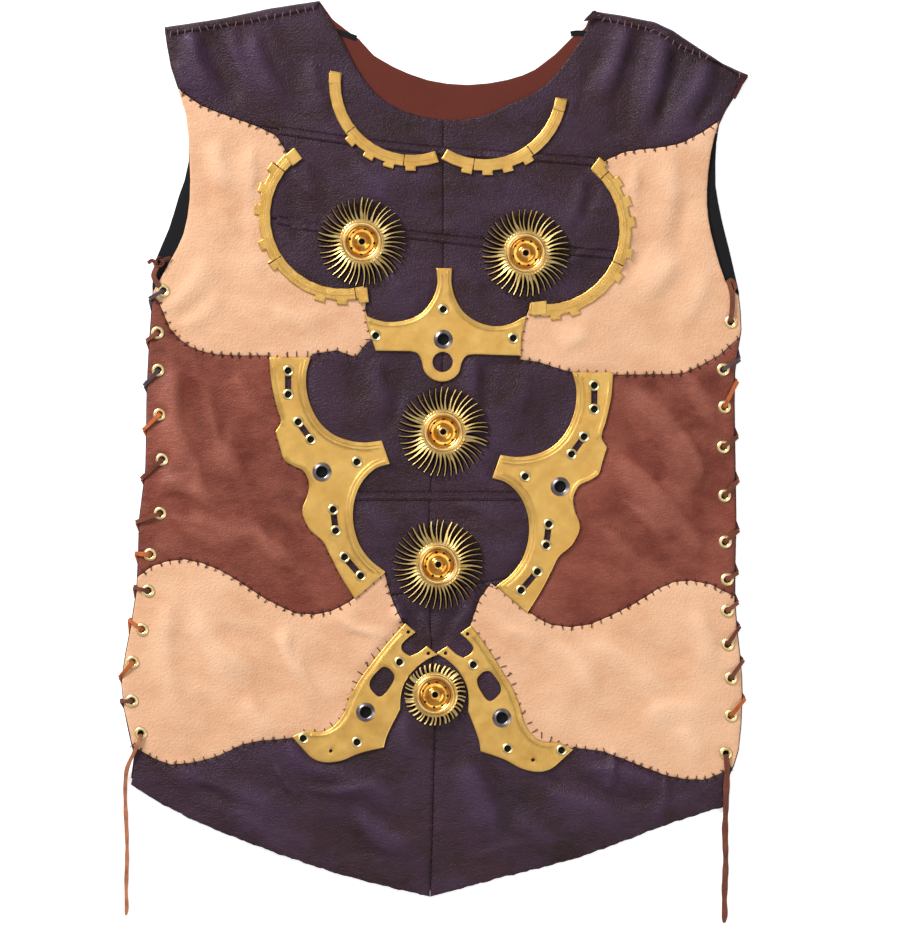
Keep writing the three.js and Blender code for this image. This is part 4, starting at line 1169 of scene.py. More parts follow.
def back_yoke():
    """The back's yoke: flesh side up inside the neck, wrapped over both shoulders to the front."""
    outline = smooth_loop(sections("back_yoke", BACK_TOP - 0.3)[0], 2.5)
    made = Mesher("flesh", "raw_edge", "aubergine")
    points, faces = triangulated([outline], 5.0, inset_rows(outline, (0.5, 1.2, 2.4)))
    gap = distance_to(points, outline)[0]
    top = BACK_TOP - 0.6 * np.exp(-gap / 0.6) + 0.12 * np.sin(points[:, 0] / 9)
    under = 0.4 * np.exp(-gap / 0.5) + 0.02
    # Its fold value darkens towards the edge: painted shade, which only the aubergine underside takes.
    slab(made, points, faces, top, under, -0.8 * np.exp(-gap / 2), (0, 1, 2))
    cut_area = area_of(outline)
    for loop in sections("back_yoke", BAND_UNDER + 0.7)[:2]:
        band = smooth_loop(loop, 2.0)
        cut_area += area_of(band)
        sewn = np.flatnonzero(distance_to(band, outline)[0] > 3.0)
        for i in sewn[:: round(STITCH_PITCH / 2)]:
            shoulder_stitches.append((band[i], outward_at(band, i)))
        points, faces = triangulated([band], 2.6, inset_rows(band, (0.4, 0.9, 1.6)))
        gap = distance_to(points, band)[0]
        from_fold, along = distance_to(points, outline)
        lift = front_lift(points)
        top = BAND_UNDER + LEATHER + lift - 0.75 * np.exp(-gap / 0.5)
        top += 0.2 * np.sin(along / 3.1) * np.exp(-((gap / 3) ** 2))
        top -= 1.8 * np.exp(-((from_fold / 1.3) ** 2))
        under = np.where(from_fold < 1.2, 0.05, BAND_UNDER + lift)
        under = np.minimum(under, top - 0.2)
        # The bands' fold value: a painted sheen across their middles and painted shade towards their
        # edges.
        slab(made, points, faces, top, under, 0.25 - np.exp(-gap / 1.5), (2, 1, 2))
    corner = smooth_loop(np.array(CURLED_CORNER), 1.2)
    points, faces = triangulated([corner], 1.8, inset_rows(corner, (0.4, 0.9)))
    top = BAND_UNDER + LEATHER + 1.3 - 0.05 * (points[:, 0] - 117) - 0.3 * np.exp(
        -distance_to(points, corner)[0] / 0.5
    )
    # The curled corner's fold value: painted shade over its aubergine top.
    slab(made, points, faces, top, top - 1.0, -0.3 + 0 * top, (2, 1, 0))
    points, faces = band_mesh(smooth_line(TURNED_EDGE, 1.5), 3.2, 5)
    top = FRONT_TOP + 1.2 + front_lift(points)
    slab(made, points, faces, top, top - 0.9, 0.4 + 0 * top, (1, 1, 0))
    piece = made.piece("back_yoke_leather", "aubergine_leather", ["back_yoke"])


NECK_STAYS = {
    "left": [(-84, 693.6), (-74, 690.6), (-64.5, 687.2)],
    "right": [(107, 690.6), (112, 691.4), (123, 690.4)],
}
STAY_WIDTH = 4.4  # of the tape, that shows


def neck_stays():
    """Two ends of black tape that lie on the back inside the neck, next to the shoulders."""
    for side, stay in NECK_STAYS.items():
        line = smooth_line(stay, 2.0)
        points, faces = band_mesh(line, STAY_WIDTH, 5)
        made = Mesher("black", "black")
        level = np.full(len(points), BACK_TOP + 0.04)
        slab(made, points, faces, level + 0.3, level, 0 * level)
        piece = made.piece("neck_stay_" + side, "black_leather")
        length = length_along(line) * MM


def band_mesh(line, width, across):
    """A flat band of triangles along a line."""
    points = np.vstack(rows_beside(line, np.linspace(-width / 2, width / 2, across)))
    return points, strip_faces(across, len(line))


# ---- thread ----
def tube(made, path, radius, sides=6, finish=0):
    """Adds a closed round tube along a path of points in space."""
    path = np.asarray(path, float)
    along = np.gradient(path, axis=0)
    along /= np.linalg.norm(along, axis=1, keepdims=True)
    side = np.cross(along, (0.13, 0.08, 1.0))
    side /= np.maximum(np.linalg.norm(side, axis=1, keepdims=True), 1e-6)
    up = np.cross(side, along)
    rings = []
    for k in range(sides):
        turn = 2 * math.pi * k / sides
        rings.append(path + radius * (math.cos(turn) * side + math.sin(turn) * up))
    points = np.stack(rings, 1).reshape(-1, 3)
    count = len(path)
    faces = []
    for i in range(count - 1):
        for k in range(sides):
            a, b = i * sides + k, i * sides + (k + 1) % sides
            faces.append((a, b, b + sides, a + sides))
    faces.append(tuple(range(sides))[::-1])
    faces.append(tuple((count - 1) * sides + k for k in range(sides)))
    made.add(points, faces, finish)


def surface_height(place):
    """The top of the front at one place: the patch's or the darker leather's, with its folds."""
    spot = np.array([place], float)
    top = PATCH_TOP if any(inside(spot, panel_loops[name])[0] for name in PATCHES) else FRONT_TOP
    return top + float(front_lift(spot)[0])


STITCH_ARCH = [  # share of the way from end to end, and height above the leather
    (0, -0.5), (0.1, 0.22), (0.32, 0.44), (0.55, 0.42), (0.78, 0.34), (0.92, 0.14), (1, -0.5),
]


def sewn_stitch(made, place, across, reach, turn, radius, rise=0.0, finish=0):
    """One hand stitch over an edge: down into the leather at both ends."""
    heading = math.atan2(across[1], across[0]) + turn
    way = np.array([math.cos(heading), math.sin(heading)])
    start, end = place - way * reach, place + way * (reach * 0.8)
    low, high = surface_height(start) + rise, surface_height(end) + rise
    path = []
    for share, up in STITCH_ARCH:
        x, y = start + (end - start) * share
        path.append((x, y, low + (high - low) * share + up))
    tube(made, path, radius, 6, finish)


# Where the side fronts are sewn down along the hip plates: side, from and to on the plate's edge.
PLATE_SEAMS = [("left", (-133, 410), (-72, 248)), ("right", (139, 398), (78, 236))]
HIDDEN = 3.5  # a stitch further than this under a plate isn't seen, and isn't made
BESIDE = 1.6  # a stitch nearer than this to a plate is sewn beside its edge
THREAD = 0.36  # radius of the hand-sewn thread
SHOULDER_RISE = 1.75  # the shoulder bands lie this much higher than the front


def hand_stitches():
    """The overcast stitches round the patches and along the shoulders, in waxed dark thread."""
    made = Mesher("thread", "pale_thread")
    outlines = [loops[0] for loops in plate_loops.values()]
    for place, across in overcast:
        spot = np.array([place])
        if any(math.dist(place, (x, y)) < tip for x, y, tip, _ in WHEELS.values()):
            continue
        gaps = [distance_to(spot, outline)[0][0] for outline in outlines]
        nearest = outlines[int(np.argmin(gaps))]
        under = inside(spot, nearest)[0]
        if under and min(gaps) > HIDDEN:
            continue
        if under or min(gaps) < BESIDE:
            i = int(np.linalg.norm(nearest - place, axis=1).argmin())
            across = outward_at(nearest, i)
            place = nearest[i] + across * 1.1
            sewn_stitch(made, place, across, 1.2, rng.gauss(0, 0.4), 0.3)
            continue
        turn = rng.gauss(0, 0.28)
        sewn_stitch(made, place, across, rng.uniform(2.4, 3.4), turn, THREAD)
        if rng.random() < 0.4:
            sewn_stitch(made, place, across, 2.3, turn + rng.choice((-0.6, 0.6)), 0.32)
    for side, top, foot in PLATE_SEAMS:
        outline = plate_loops["hip_plate_" + side][0]
        line = edge_run(outline, top, foot, -0.8)
        for i in range(3, len(line) - 3, 6):
            across = outward_at(line, i)
            sewn_stitch(made, line[i], across, rng.uniform(0.9, 1.5), rng.gauss(0, 0.5), 0.28)
    for place, across in shoulder_stitches:
        reach, turn = rng.uniform(2.0, 2.8), rng.gauss(0, 0.35)
        sewn_stitch(made, place, across, reach, turn, 0.28, SHOULDER_RISE, 1)
    made.piece("hand_stitches", "thong_leather")


MACHINE_ARCH = (0.0, 0.16, 0.22, 0.2, 0.12, -0.12)  # heights along one machine stitch
CENTRE_LINE = [(-2, 130), (-4, 90), (-5, 50), (-6, 6)]


def fine_stitches():
    """Machine rows along the felled seams, and the small cross stitches down the lower centre."""
    made = Mesher("fine_thread")
    covers = [loops[0] for loops in plate_loops.values()]
    span = len(MACHINE_ARCH)
    for row in machine_rows:
        dense = smooth_line(row[::3], 0.5)
        heights = FRONT_TOP + front_lift(dense) + THREAD_RISE
        hidden = np.zeros(len(dense), bool)
        for cover in covers:
            hidden |= inside(dense, cover)
        for low in range(0, len(dense) - span, span):
            if hidden[low : low + span].any():
                continue
            raised = heights[low : low + span] + MACHINE_ARCH
            tube(made, np.column_stack([dense[low : low + span], raised]), 0.2, 5)
    centre = smooth_line(CENTRE_LINE, 5.0)
    for i, place in enumerate(centre):
        for turn in (0.65, -0.65) if i % 3 else (0.4,):
            sewn_stitch(made, place, (1, 0), 2.0, turn + rng.gauss(0, 0.12), 0.24)
    made.piece("fine_stitches", "thong_leather")


# ---- brass plates ----
HEART_EYELETS = {"small": [(5, 470), (-49, 449), (61, 447)], "big": [(5, 446)]}
HIP_EYELETS = {
    "small": [
        (-119, 421), (-119, 402), (-111, 380), (-101, 366), (-64, 348), (-83, 310), (-81, 293),
        (-74, 272), (-61, 257),
    ],
    "big": [(-92, 340)],
}
TAIL_EYELETS = {"small": [(-30, 188), (-107, 127), (-64, 124)], "big": [(-57, 148)]}
# Pressed ribs: from and to, near the edge that a rib follows, and how far inside that edge.
HEART_RIBS = [((12, 500), (69, 463), 3.0), ((-57, 464), (0, 497), 3.0)]
HIP_RIBS = [
    ((-101, 429), (-47, 366), 2.6), ((-101, 426), (-48, 366), 5.2), ((-41, 344), (-43, 263), 2.6),
    ((-43, 340), (-46, 266), 5.2), ((-132, 424), (-128, 380), 2.6), ((-125, 350), (-103, 330), 2.4),
]
TAIL_RIBS = [((-30, 212), (-84, 136), 3.4), ((-100, 131), (-84, 136), 3.0)]


def mirrored_ribs(kind, ribs):
    """A left plate's ribs, on the right plate of its kind."""
    return [(mirrored(kind, *start), mirrored(kind, *end), inset) for start, end, inset in ribs]


PLATE_RIBS = {
    "heart_plate": HEART_RIBS,
    "hip_plate_left": HIP_RIBS,
    "hip_plate_right": mirrored_ribs("hip_plate", HIP_RIBS),
    "tail_plate_left": TAIL_RIBS,
    "tail_plate_right": mirrored_ribs("tail_plate", TAIL_RIBS),
}
# Where the gear arcs are joined from shorter tiles: centre, inner edge, degrees of each joint.
ARC_JOINTS = {
    "neck_arc_left": (-20, 650.5, 57, (179, 217, 264)),
    "neck_arc_right": (38, 647.5, 57.5, (262, 306, 343)),
    "bust_arc_left": (-75, 545, 58.6, (143, 213, 279)),
    "bust_arc_right": (86, 534, 60.1, (-93, -25, 42)),
}
ARC_WIDTH = 9.2
JOINT_BESIDE = (-0.6, -0.22, 0.0, 0.22, 0.6)  # rows of points across each joint
LAP = 12  # degrees over which a lapped tile comes down to the next


def edge_run(outline, start, end, inset):
    """The stretch of an outline between two places, moved inwards."""
    first = int(np.linalg.norm(outline - start, axis=1).argmin())
    last = int(np.linalg.norm(outline - end, axis=1).argmin())
    there = (last - first) % len(outline)
    back = (first - last) % len(outline)
    if there <= back:
        picks = [(first + k) % len(outline) for k in range(there + 1)]
    else:
        picks = [(last + k) % len(outline) for k in range(back + 1)]
    row = np.array([outline[i] - outward_at(outline, i) * inset for i in picks])
    return row[distance_to(row, outline)[0] > 0.85 * inset]


# The end tiles of the arcs: middle, width, height, degrees that each is turned.
ARC_TILES = {
    "neck_arc_left": [(-81.8, 654.8, 9.8, 9.6, 2)],
    "neck_arc_right": [(98.4, 633.6, 9.2, 10, -16)],
    "bust_arc_left": [(-114.8, 592, 10.4, 10.6, 38), (-59.2, 481.2, 8.6, 12, 8)],
    "bust_arc_right": [(129.2, 584.4, 12.6, 8, 52), (81.6, 471, 13, 11, 5)],
}
ARC_RIBS = (3.0, 4.6)  # out from an arc's inner edge


def plate(name, ribs):
    """One sheet brass plate: pierced, with rounded edges, pressed ribs and a little hammering."""
    loops = plate_loops[name]
    lines = [edge_run(loops[0], *rib) for rib in ribs]
    lines = [line for line in lines if len(line) > 2]
    joints = ()
    strength = 1.0
    if name in ARC_JOINTS:
        x, y, inner, joints = ARC_JOINTS[name]
        lines = [circle(x, y, inner + out, 220) for out in ARC_RIBS]
        strength = 0.5
    extra = inset_rows(loops[0], (0.3, 0.8))
    for line in lines:
        extra += rows_beside(line, (-0.8, -0.4, 0, 0.4, 0.8))
    for degrees in joints:
        for beside in JOINT_BESIDE:
            angle = math.radians(degrees) + beside / inner
            radii = inner + np.arange(0.5, ARC_WIDTH + 3, 0.8)
            extra.append(np.stack([x + radii * math.cos(angle), y + radii * math.sin(angle)], 1))
    points, faces = triangulated(loops, 1.9, extra)
    gap = distance_to(points, loops[0])[0]
    for loop in loops[1:]:
        gap = np.minimum(gap, distance_to(points, loop)[0])
    x_out, y_up = points.T
    wave = 0.12 * np.sin(x_out / 5.3 + 0.7) * np.sin(y_up / 6.1)
    wave += 0.07 * np.sin(x_out / 2.9 - y_up / 3.3)
    rib = np.zeros(len(points))
    for line in lines:
        rib = np.maximum(rib, np.exp(-((distance_to(points, line, False)[0] / 0.7) ** 2)))
    rib *= strength
    lapped = np.zeros(len(points))
    # The fold value: a painted highlight along the ribs; below, dark lines at the tiles' joints.
    folds = 0.9 * rib
    if joints:
        angle = np.degrees(np.arctan2(points[:, 1] - y, points[:, 0] - x))
        for degrees in joints:
            past = (angle - degrees + 180) % 360 - 180
            lapped += np.where((past >= 0) & (past < LAP), 0.42 * (1 - past / LAP), 0)
            folds -= 1.6 * np.exp(-((np.radians(past) * inner / 0.3) ** 2))
    top = PLATE_TOP + wave + 0.45 * rib + lapped - 0.3 * np.exp(-gap / 0.25)
    made = Mesher("plate", "plate")
    slab(made, points, faces, top, PLATE_UNDER + 0 * wave, np.clip(folds, -1, 1))
    for tile in ARC_TILES.get(name, ()):
        arc_tile(made, *tile)
    made.piece(name + "_brass", "brass_plate", [name], 35)


def arc_tile(made, x, y, width, height, turn):
    """One short tile of brass that ends an arc, on top of it."""
    across, up = width / 2, height / 2
    corners = [(-across, -up), (0.93 * across, -up), (across, up), (-0.9 * across, 0.94 * up)]
    angle = math.radians(turn)
    spin = np.array([[math.cos(angle), math.sin(angle)], [-math.sin(angle), math.cos(angle)]])
    outline = smooth_loop(np.array(corners) @ spin + (x, y), 1.2)
    points, faces = triangulated([outline], 1.6, inset_rows(outline, (0.3, 0.7)))
    gap = distance_to(points, outline)[0]
    top = PLATE_TOP + 0.62 - 0.3 * np.exp(-gap / 0.3) + 0.08 * np.sin(points[:, 0] / 1.7)
    under = np.full(len(points), PLATE_TOP - 0.1)
    slab(made, points, faces, top, under, -0.5 * np.exp(-gap / 0.3))


NOTCH = 0.45  # depth of the crimps in a large ring


def lathe(made, place, profile, sides, finish=0, ticks=()):
    """Adds a turned ring from (radius, height) pairs that close; ticks are its notched rows."""
    finishes = finish if isinstance(finish, list) else [finish] * len(profile)
    x, y, z = place
    rows = []
    for row, (radius, height) in enumerate(profile):
        turns = np.linspace(0, 2 * math.pi, sides, endpoint=False)
        heights = np.full(sides, z + height)
        if row in ticks:
            heights[::2] -= NOTCH
        rows.append(np.stack([x + radius * np.cos(turns), y + radius * np.sin(turns), heights], 1))
    faces = []
    for r in range(len(profile)):
        for k in range(sides):
            a, b = r * sides + k, r * sides + (k + 1) % sides
            c = ((r + 1) % len(profile)) * sides
            faces.append((a, b, c + (k + 1) % sides, c + k))
    made.add(np.vstack(rows), faces, [pick for pick in finishes for _ in range(sides)])


def disc(made, x, y, z, radius, finish, sides=20):
    """Adds a small flat closed disc."""
    lathe(made, (x, y, z), [(0.01, -0.2), (radius, -0.2), (radius, 0), (0.01, 0)], sides, finish)


# Eyelets' cross sections: radius, and height above what they are set in.
SMALL_EYELET = [
    (2.7, -1.3), (2.7, 0.35), (2.95, 0.72), (3.5, 0.9), (4.1, 0.66), (4.5, 0.12), (4.4, -0.05),
    (3.2, -0.1), (3.1, -1.3),
]
BIG_EYELET = [
    (4.5, -1.3), (4.5, 0.9), (4.8, 1.35), (5.3, 1.5), (5.8, 1.25), (6.3, 1.1), (6.9, 0.95), (7.5, 0.5),
    (7.7, 0.05), (7.0, -0.05), (5.2, -0.05), (5.1, -1.3),
]
SIDE_EYELET = [
    (2.4, -1.5), (2.4, 0.55), (2.75, 1.0), (3.5, 1.22), (4.3, 1.05), (5.0, 0.6), (5.3, 0.05),
    (4.8, -0.05), (3.0, -0.1), (2.9, -1.5),
]


def plate_eyelets():
    """The small pale eyelets and large nickel ones that are set in the plates, each over a dark disc
    that paints the shade in its hole.
    """
    made = Mesher("eyelet", "nickel", "hole")
    sets = [HEART_EYELETS, HIP_EYELETS, TAIL_EYELETS]
    for kind, places in (("hip_plate", HIP_EYELETS), ("tail_plate", TAIL_EYELETS)):
        sets.append({size: [mirrored(kind, *p) for p in spots] for size, spots in places.items()})
    for places in sets:
        for x, y in places["small"]:
            lathe(made, (x, y, PLATE_TOP), SMALL_EYELET, 28, 0)
            disc(made, x, y, PLATE_UNDER + 0.1, 3.0, 2)
        for x, y in places["big"]:
            lathe(made, (x, y, PLATE_TOP), BIG_EYELET, 56, 1, ticks=(5, 6))
            disc(made, x, y, PLATE_UNDER + 0.1, 5.0, 2)
    made.piece("plate_eyelets", "eyelet_brass")


def side_eyelets():
    """The eyelets of the lacing, each set in the leather over a dark disc that paints the shade in its
    hole.
    """
    for name, (x, y) in eyelet_places.items():
        made = Mesher("eyelet", "hole")
        top = surface_height((x, y))
        lathe(made, (x, y, top), SIDE_EYELET, 28)
        disc(made, x, y, FRONT_UNDER + 0.3, 2.9, 1)
        made.piece(name + "_ring", "eyelet_brass", [name])


# ---- turbine wheels ----
HUB = [
    (2.3, 0.4), (2.3, 4.5), (2.55, 4.9), (3.2, 5.0), (3.7, 4.7), (4.4, 3.6), (5.4, 2.7), (7.0, 2.2),
    (9.0, 2.0), (10.8, 2.15), (11.9, 2.8), (12.4, 3.5), (12.6, 4.3), (13.1, 4.8), (13.9, 5.1),
    (14.7, 5.15), (15.4, 4.9), (15.9, 4.4), (16.1, 3.9), (16.9, 3.85), (18.0, 3.3), (18.4, 2.6),
    (16.6, 0.2), (15.0, 0.05),
]
SMALL_WHEEL = 30  # a wheel with a shorter tip has broad paddles for blades
HUB_FACE = range(5, 11)  # the rows of the hub that are its dished face
HUB_HOLES = 8
HUB_HOLES_AT = 10.2
HUB_HOLE = 1.15
BLADE_ROOT = 15.6
BLADE_TOP = 4.0
BLADE_DEEP = 3.4
BLADE_THICK = 0.3
BLADE_SHARES = [0, 0.06, 0.14, 0.26, 0.42, 0.6, 0.8, 0.95, 1.0]
BLADE_LIPS = [2.6, 2.5, 2.1, 1.5, 0.95, 0.68, 0.5, 0.4, 0.24]  # the bright upper lip's width


def blade(made, centre, start, tip, bend, wide, least):
    """One thin pressed blade: a bright upper lip on a steep web, from the hub to its tip; the lip takes
    a brighter copy of the brass as painted highlight, the web a dark copy as painted shade.
    """
    x, y, z = centre
    rows = []
    for share, lip in zip(BLADE_SHARES, BLADE_LIPS):
        radius = BLADE_ROOT + (tip - BLADE_ROOT) * share
        angle = start + math.radians(bend * math.sin(math.pi * share) - 3.2 * share**2)
        out = np.array([math.cos(angle), math.sin(angle), 0])
        side = np.array([-math.sin(angle), math.cos(angle), 0])
        lip = max(lip, least) * (wide if share > 0.1 else 1.0)
        deep = BLADE_DEEP * (1 - 0.25 * share)
        ridge = z + BLADE_TOP - 0.5 * share - 0.27 * math.sin(math.pi * share)
        profile = [
            (-0.85 * lip, -0.3 * lip), (0, 0), (0.55 * deep, -deep),
            (0.55 * deep - BLADE_THICK, -deep), (-BLADE_THICK, -0.4 - 0.1 * lip),
            (-0.85 * lip, -0.3 * lip - BLADE_THICK),
        ]
        for u, v in profile:
            rows.append(np.array([x, y, ridge + v]) + out * radius + side * u)
    count, ring = len(BLADE_SHARES), 6
    # The web's faces take the dark brass, painted shade; the lip's faces the brighter brass, painted
    # highlight.
    picks = [2, 1] + [2 if k in (1, 2, 3) else 1 for k in range(ring)] * (count - 1)
    made.add(rows, joined_rings(count, ring), picks)


def joined_rings(count, ring):
    """The faces of a closed strip: an end, the other end, and all round between its rings."""
    faces = [tuple(range(ring)), tuple((count - 1) * ring + k for k in range(ring))[::-1]]
    for i in range(count - 1):
        for k in range(ring):
            a, b = i * ring + k, i * ring + (k + 1) % ring
            faces.append((a, a + ring, b + ring, b))
    return faces


def wheel(name):
    """One turbine wheel: a turned hub with a ring of small holes, drawn as dark discs of painted shade,
    and its blades.
    """
    x, y, tip, count = WHEELS[name]
    made = Mesher("wheel", "blade", "blade_web_painted_shade", "wheel_face", "hole")
    # The dished face rows take the orange brass: painted reflection.
    finishes = [3 if row in HUB_FACE else 0 for row in range(len(HUB))]
    lathe(made, (x, y, WHEEL_UNDER), HUB, 72, finishes)
    # Dark discs down in the bore and on the face in place of holes: painted shade.
    disc(made, x, y, WHEEL_UNDER + 1.2, 2.4, 4)
    turn = rng.uniform(0, 1)
    for k in range(HUB_HOLES):
        angle = 2 * math.pi * (k + turn) / HUB_HOLES + rng.uniform(-0.12, 0.12)
        away = HUB_HOLES_AT + rng.uniform(-0.4, 0.4)
        hole_x, hole_y = x + away * math.cos(angle), y + away * math.sin(angle)
        disc(made, hole_x, hole_y, WHEEL_UNDER + 2.2, HUB_HOLE, 4, 12)
    least = 1.35 if tip < SMALL_WHEEL else 0.0
    for k in range(count):
        start = 2 * math.pi * (k + 0.1 * rng.gauss(0, 1)) / count
        length = tip + rng.uniform(-0.8, 0.2)
        wide = 2.2 if rng.random() < 0.12 else rng.uniform(0.8, 1.3)
        blade(made, (x, y, WHEEL_UNDER), start, length, rng.uniform(0.4, 1.4), wide, least)
    made.piece(name + "_brass", "brass_wheel", [name], 30)


# ---- laces ----
STRAP_SECTION = [  # shares of half the width and of half the thickness
    (-1, -0.5), (-0.86, -1), (0.86, -1), (1, -0.5), (1, 0.5), (0.86, 1), (-0.86, 1), (-1, 0.5),
]


def strap(made, path, sides, width, thick, finish=0):
    """Adds a flat strip along a path of points, with the direction across it at each point."""
    path = np.asarray(path, float)
    along = np.gradient(path, axis=0)
    along /= np.maximum(np.linalg.norm(along, axis=1, keepdims=True), 1e-9)
    across = np.broadcast_to(np.asarray(sides, float), path.shape)
    across = across - along * (across * along).sum(1, keepdims=True)
    across = across / np.linalg.norm(across, axis=1, keepdims=True)
    up = np.cross(across, along)
    widths = np.broadcast_to(width, len(path))[:, None] / 2
    t = thick / 2
    rings = [path + across * widths * u + up * t * v for u, v in STRAP_SECTION]
    points = np.stack(rings, 1).reshape(-1, 3)
    made.add(points, joined_rings(len(path), len(STRAP_SECTION)), finish)


back_outline = sections("back_body", BACK_TOP - 0.3)[0]


def side_at(y, outward):
    """Where the side edge of the back lies at a height of the pattern."""
    x0, y0 = back_outline.T
    x1, y1 = np.roll(back_outline, -1, 0).T
    cut = (y0 > y) != (y1 > y)
    places = x0[cut] + (y - y0[cut]) * (x1[cut] - x0[cut]) / (y1[cut] - y0[cut])
    return float(places.max() if outward > 0 else places.min())


# How far each thong runs down from its eyelet to the side edge, and its leather.
LACING = {
    "left": {
        "outward": -1, "first": 1, "step": 1,
        "drops": [6, 6, 12, 12, 15, 7, -1, -3, -8, 12, 0],
        "leathers": [2, 0, 2, 1, 0, 0, 1, 0, 1, 1, 0],
    },
    "right": {
        "outward": 1, "first": 2, "step": -1,
        "drops": [-8, -20, -8, -12, -9, -5, -6, -14, -14, -13],
        "leathers": [2, 1, 0, 0, 0, 0, 0, 0, 0, 1],
    },
}
THONG_WIDTH = 3.4
THONG_THICK = 1.0
UNDER_RUN = 0.5  # the middle of a thong that runs under the back, in its groove


def thong_stitch(made, hole, bend, onward, top, finish):
    """A thong out of an eyelet, over the leather and round the side edge to the next slit."""
    hole, bend, onward = (np.array(p, float) for p in (hole, bend, onward))
    run = float(np.linalg.norm(bend - hole))
    way = (bend - hole) / run
    lift = rng.uniform(0.1, 0.9)
    profile = [
        (-0.9, top - 1.6), (-0.7, top - 0.2), (0.2, top + 1.2), (1.8, top + 1.75 + 0.3 * lift),
        (0.55 * run, top + 1.5 + lift), (run - 2.4, top + 0.95), (run - 0.9, top + 0.35),
        (run + 0.1, top - 1.0), (run + 0.45, 2.0), (run - 0.1, 0.95), (run - 1.6, UNDER_RUN),
        (run - 3.6, UNDER_RUN),
    ]
    path = smooth_line([(*(hole + way * u), z) for u, z in profile], 0.7)
    across = np.array([-way[1], way[0], 0.0])
    sway = 0.25 * np.sin(np.linspace(0, math.pi, len(path)) * rng.uniform(0.8, 1.6))[:, None]
    width = THONG_WIDTH * (1 + 0.12 * np.sin(np.linspace(0.4, 5.4, len(path)) + rng.uniform(0, 3)))
    sides = np.tile(across, (len(path), 1))
    sides[:, 2] = rng.uniform(-0.3, 0.3) * eased(path[:, 2], 2.0, 4.0)
    strap(made, path + across * sway, sides, width, THONG_THICK, finish)
    back = onward - bend
    heading = back / np.linalg.norm(back)
    start = bend + heading * 0.5
    places = (start, start + 0.5 * (onward - start), onward)
    line = smooth_line([(*place, UNDER_RUN) for place in places], 4)
    strap(made, line, (-heading[1], heading[0], 0.0), THONG_WIDTH, 0.9, finish)


def side_lace(side):
    """The lacing of one side, with its knotted or tucked first end."""
    lace = LACING[side]
    outward = lace["outward"]
    made = Mesher("thong_brown", "thong_orange", "thong_dark")
    for i, (drop, leather) in enumerate(zip(lace["drops"], lace["leathers"])):
        number = lace["first"] + i
        hole = eyelet_places[f"eyelet_{side}_{number:02d}"]
        onward = eyelet_places[f"eyelet_{side}_{number + lace['step']:02d}"]
        turn = hole[1] - drop
        bend = (side_at(turn, outward) + outward * 1.6, turn)
        thong_stitch(made, hole, bend, onward, surface_height(hole), leather)
    if side == "left":
        knot(made)
    else:
        rising_end(made)
    made.piece("side_lace_" + side + "_thong", "thong_leather", ["side_lace_" + side])


KNOT = (-222.0, 506.0, BACK_TOP + 2.6)


def knot(made):
    """The knot at the left armhole: a loop drawn tight, with two short cut ends."""
    x, y, z = KNOT
    loop = []
    for k in range(26):
        turn = 2 * math.pi * k / 13
        radius = 3.4 + 0.9 * math.sin(turn * 0.5)
        height = z + 1.1 * math.sin(turn * 1.5 + 1)
        loop.append((x + radius * math.cos(turn), y + 3.2 * math.sin(turn) + 0.14 * k, height))
    strap(made, smooth_line(loop, 0.8), (0.25, 0.2, 1.0), 2.6, 1.1, 0)
    first = eyelet_places["eyelet_left_01"]
    ends = [
        [(x - 2, y + 1, z + 1), (x - 6, y + 3, z + 1.6), (x - 9, y + 1, z + 0.6)],
        [(x + 2, y + 1, z + 1), (x + 5, y + 4, z + 1.2), (x + 9, y + 5, z + 0.2)],
        [(x - 2, y - 2, z + 0.8), (x - 4.5, y - 9, z + 1.2), (first[0] - 3, first[1] + 3, z + 1.4)],
    ]
    for k, points in enumerate(ends):
        across = (0.4, 1.0, 0.3) if k < 2 else (1.0, 0.2, 0.1)
        strap(made, smooth_line(points, 0.8), across, (3.0, 3.0, 4.2)[k], 1.0)


def rising_end(made):
    """The right lace's start: up from the first eyelet and over the edge of the armhole."""
    x, y = eyelet_places["eyelet_right_01"]
    top = surface_height((x, y))
    route = [
        (x, y - 0.4, top - 1.4), (x - 0.2, y + 0.8, top + 1.2), (x + 0.6, y + 8, top + 1.9),
        (x + 1.2, y + 18, top + 1.6), (x - 0.2, y + 27, top + 0.6), (x - 2.6, y + 33, 3.4),
    ]
    strap(made, smooth_line(route, 0.8), (1.0, 0.1, 0.15), 3.8, 1.1, 0)
    tuck = [
        (x - 3.5, y + 31, 3.6), (x + 0.5, y + 33.5, 4.4), (x + 3.6, y + 29, 4.0),
        (x + 2.2, y + 22, 4.4),
    ]
    strap(made, smooth_line(tuck, 0.8), (0.3, 1.0, 0.1), 3.2, 1.0)


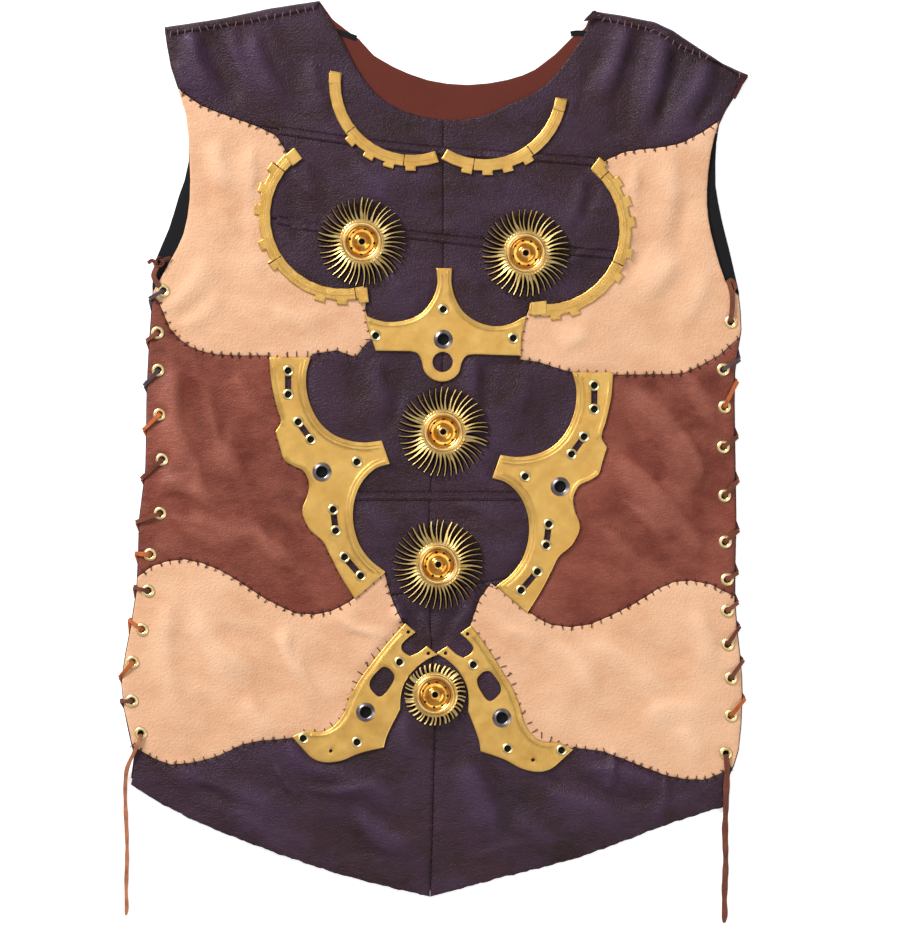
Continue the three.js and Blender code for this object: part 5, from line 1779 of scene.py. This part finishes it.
# The free ends: points from the last thong's eyelet, each with its own height.
LACE_ENDS = {
    "left": {
        "width": 3.8,
        "finish": "thong_pale",
        "points": [
            (-237, 130.4, 6.4), (-237.6, 126, 6.4), (-240, 121, 6.4), (-242.5, 115, 5.9),
            (-245.6, 109, 4.9), (-248.2, 102, 3.2), (-249.4, 94, 1.6), (-249.8, 85, 0.9),
            (-249.6, 74, 0.9), (-249, 60, 0.9), (-248.4, 46, 0.9), (-248.3, 32, 0.9),
            (-248.7, 18, 0.9), (-249, 4, 0.9), (-248.6, -9, 0.9), (-249.2, -15, 0.9),
        ],
    },
    "right": {
        "width": 5.6,
        "finish": "thong_brown",
        "points": [
            (231, 114.4, 6.4), (231.4, 110, 6.4), (232, 104, 6.3), (231.8, 96, 6), (231.4, 87, 5.8),
            (231.2, 78, 5.4), (231, 70, 4.2), (230.8, 62, 2.2), (230.6, 54, 1.1), (230.8, 44, 0.9),
            (231.2, 32, 0.9), (231, 20, 0.9), (230.4, 8, 0.9), (230.2, -4, 0.9), (230.4, -14, 0.9),
            (229.8, -21, 0.9),
        ],
    },
}
LACE_END_THICK = 1.4


def lace_end(side):
    """One free end: a flat thong that leaves the last eyelet and comes down to the table."""
    end = LACE_ENDS[side]
    path = smooth_line(end["points"], 1.6)
    share = np.linspace(0, 1, len(path))
    width = end["width"] * (0.84 - 0.07 * np.sin(share * 23) - 0.06 * np.sin(share * 51 + 1))
    width[-3:] *= (0.9, 0.72, 0.45)
    made = Mesher(end["finish"])
    strap(made, path, (1.0, 0.0, 0.06), width, LACE_END_THICK)
    piece = made.piece("lace_end_" + side + "_thong", "thong_leather", ["lace_end_" + side])
    length_along(path) * MM


FLOOR_HALF = 6000.0
FLOOR_HEIGHT = -0.05


def floor():
    """A plain pale floor under the garment."""
    x, y = LOOK_AT
    turns = ((-1, -1), (1, -1), (1, 1), (-1, 1))
    corners = [at(x + u * FLOOR_HALF, y + v * FLOOR_HALF, FLOOR_HEIGHT) for u, v in turns]
    mesh = bpy.data.meshes.new("floor")
    mesh.from_pydata(corners, [], [(0, 1, 2, 3)])
    mesh.materials.append(FINISHES["floor"])
    plane = bpy.data.objects.new("floor", mesh)
    bpy.context.scene.collection.objects.link(plane)


# ---- making it: camera and free ends first ----
make_camera()
for side in ("left", "right"):
    lace_end(side)
make_lights()
floor()
for name in AUBERGINE:
    panel(name, "aubergine", "aubergine_leather", FRONT_TOP)
for name in SIDE_FRONTS:
    panel(name, "chestnut", "chestnut_leather", FRONT_TOP + 0.15)
for name in PATCHES:
    panel(name, "tan", "tan_leather", PATCH_TOP, "tan_edge")
for seam in FELLED_SEAMS:
    felled_seam(seam["name"], seam["line"])
back_panel()
back_yoke()
neck_stays()
for name in PLATES:
    plate(name, PLATE_RIBS.get(name, []))
plate_eyelets()
side_eyelets()
for name in WHEELS:
    wheel(name)
for side in ("left", "right"):
    side_lace(side)
hand_stitches()
fine_stitches()
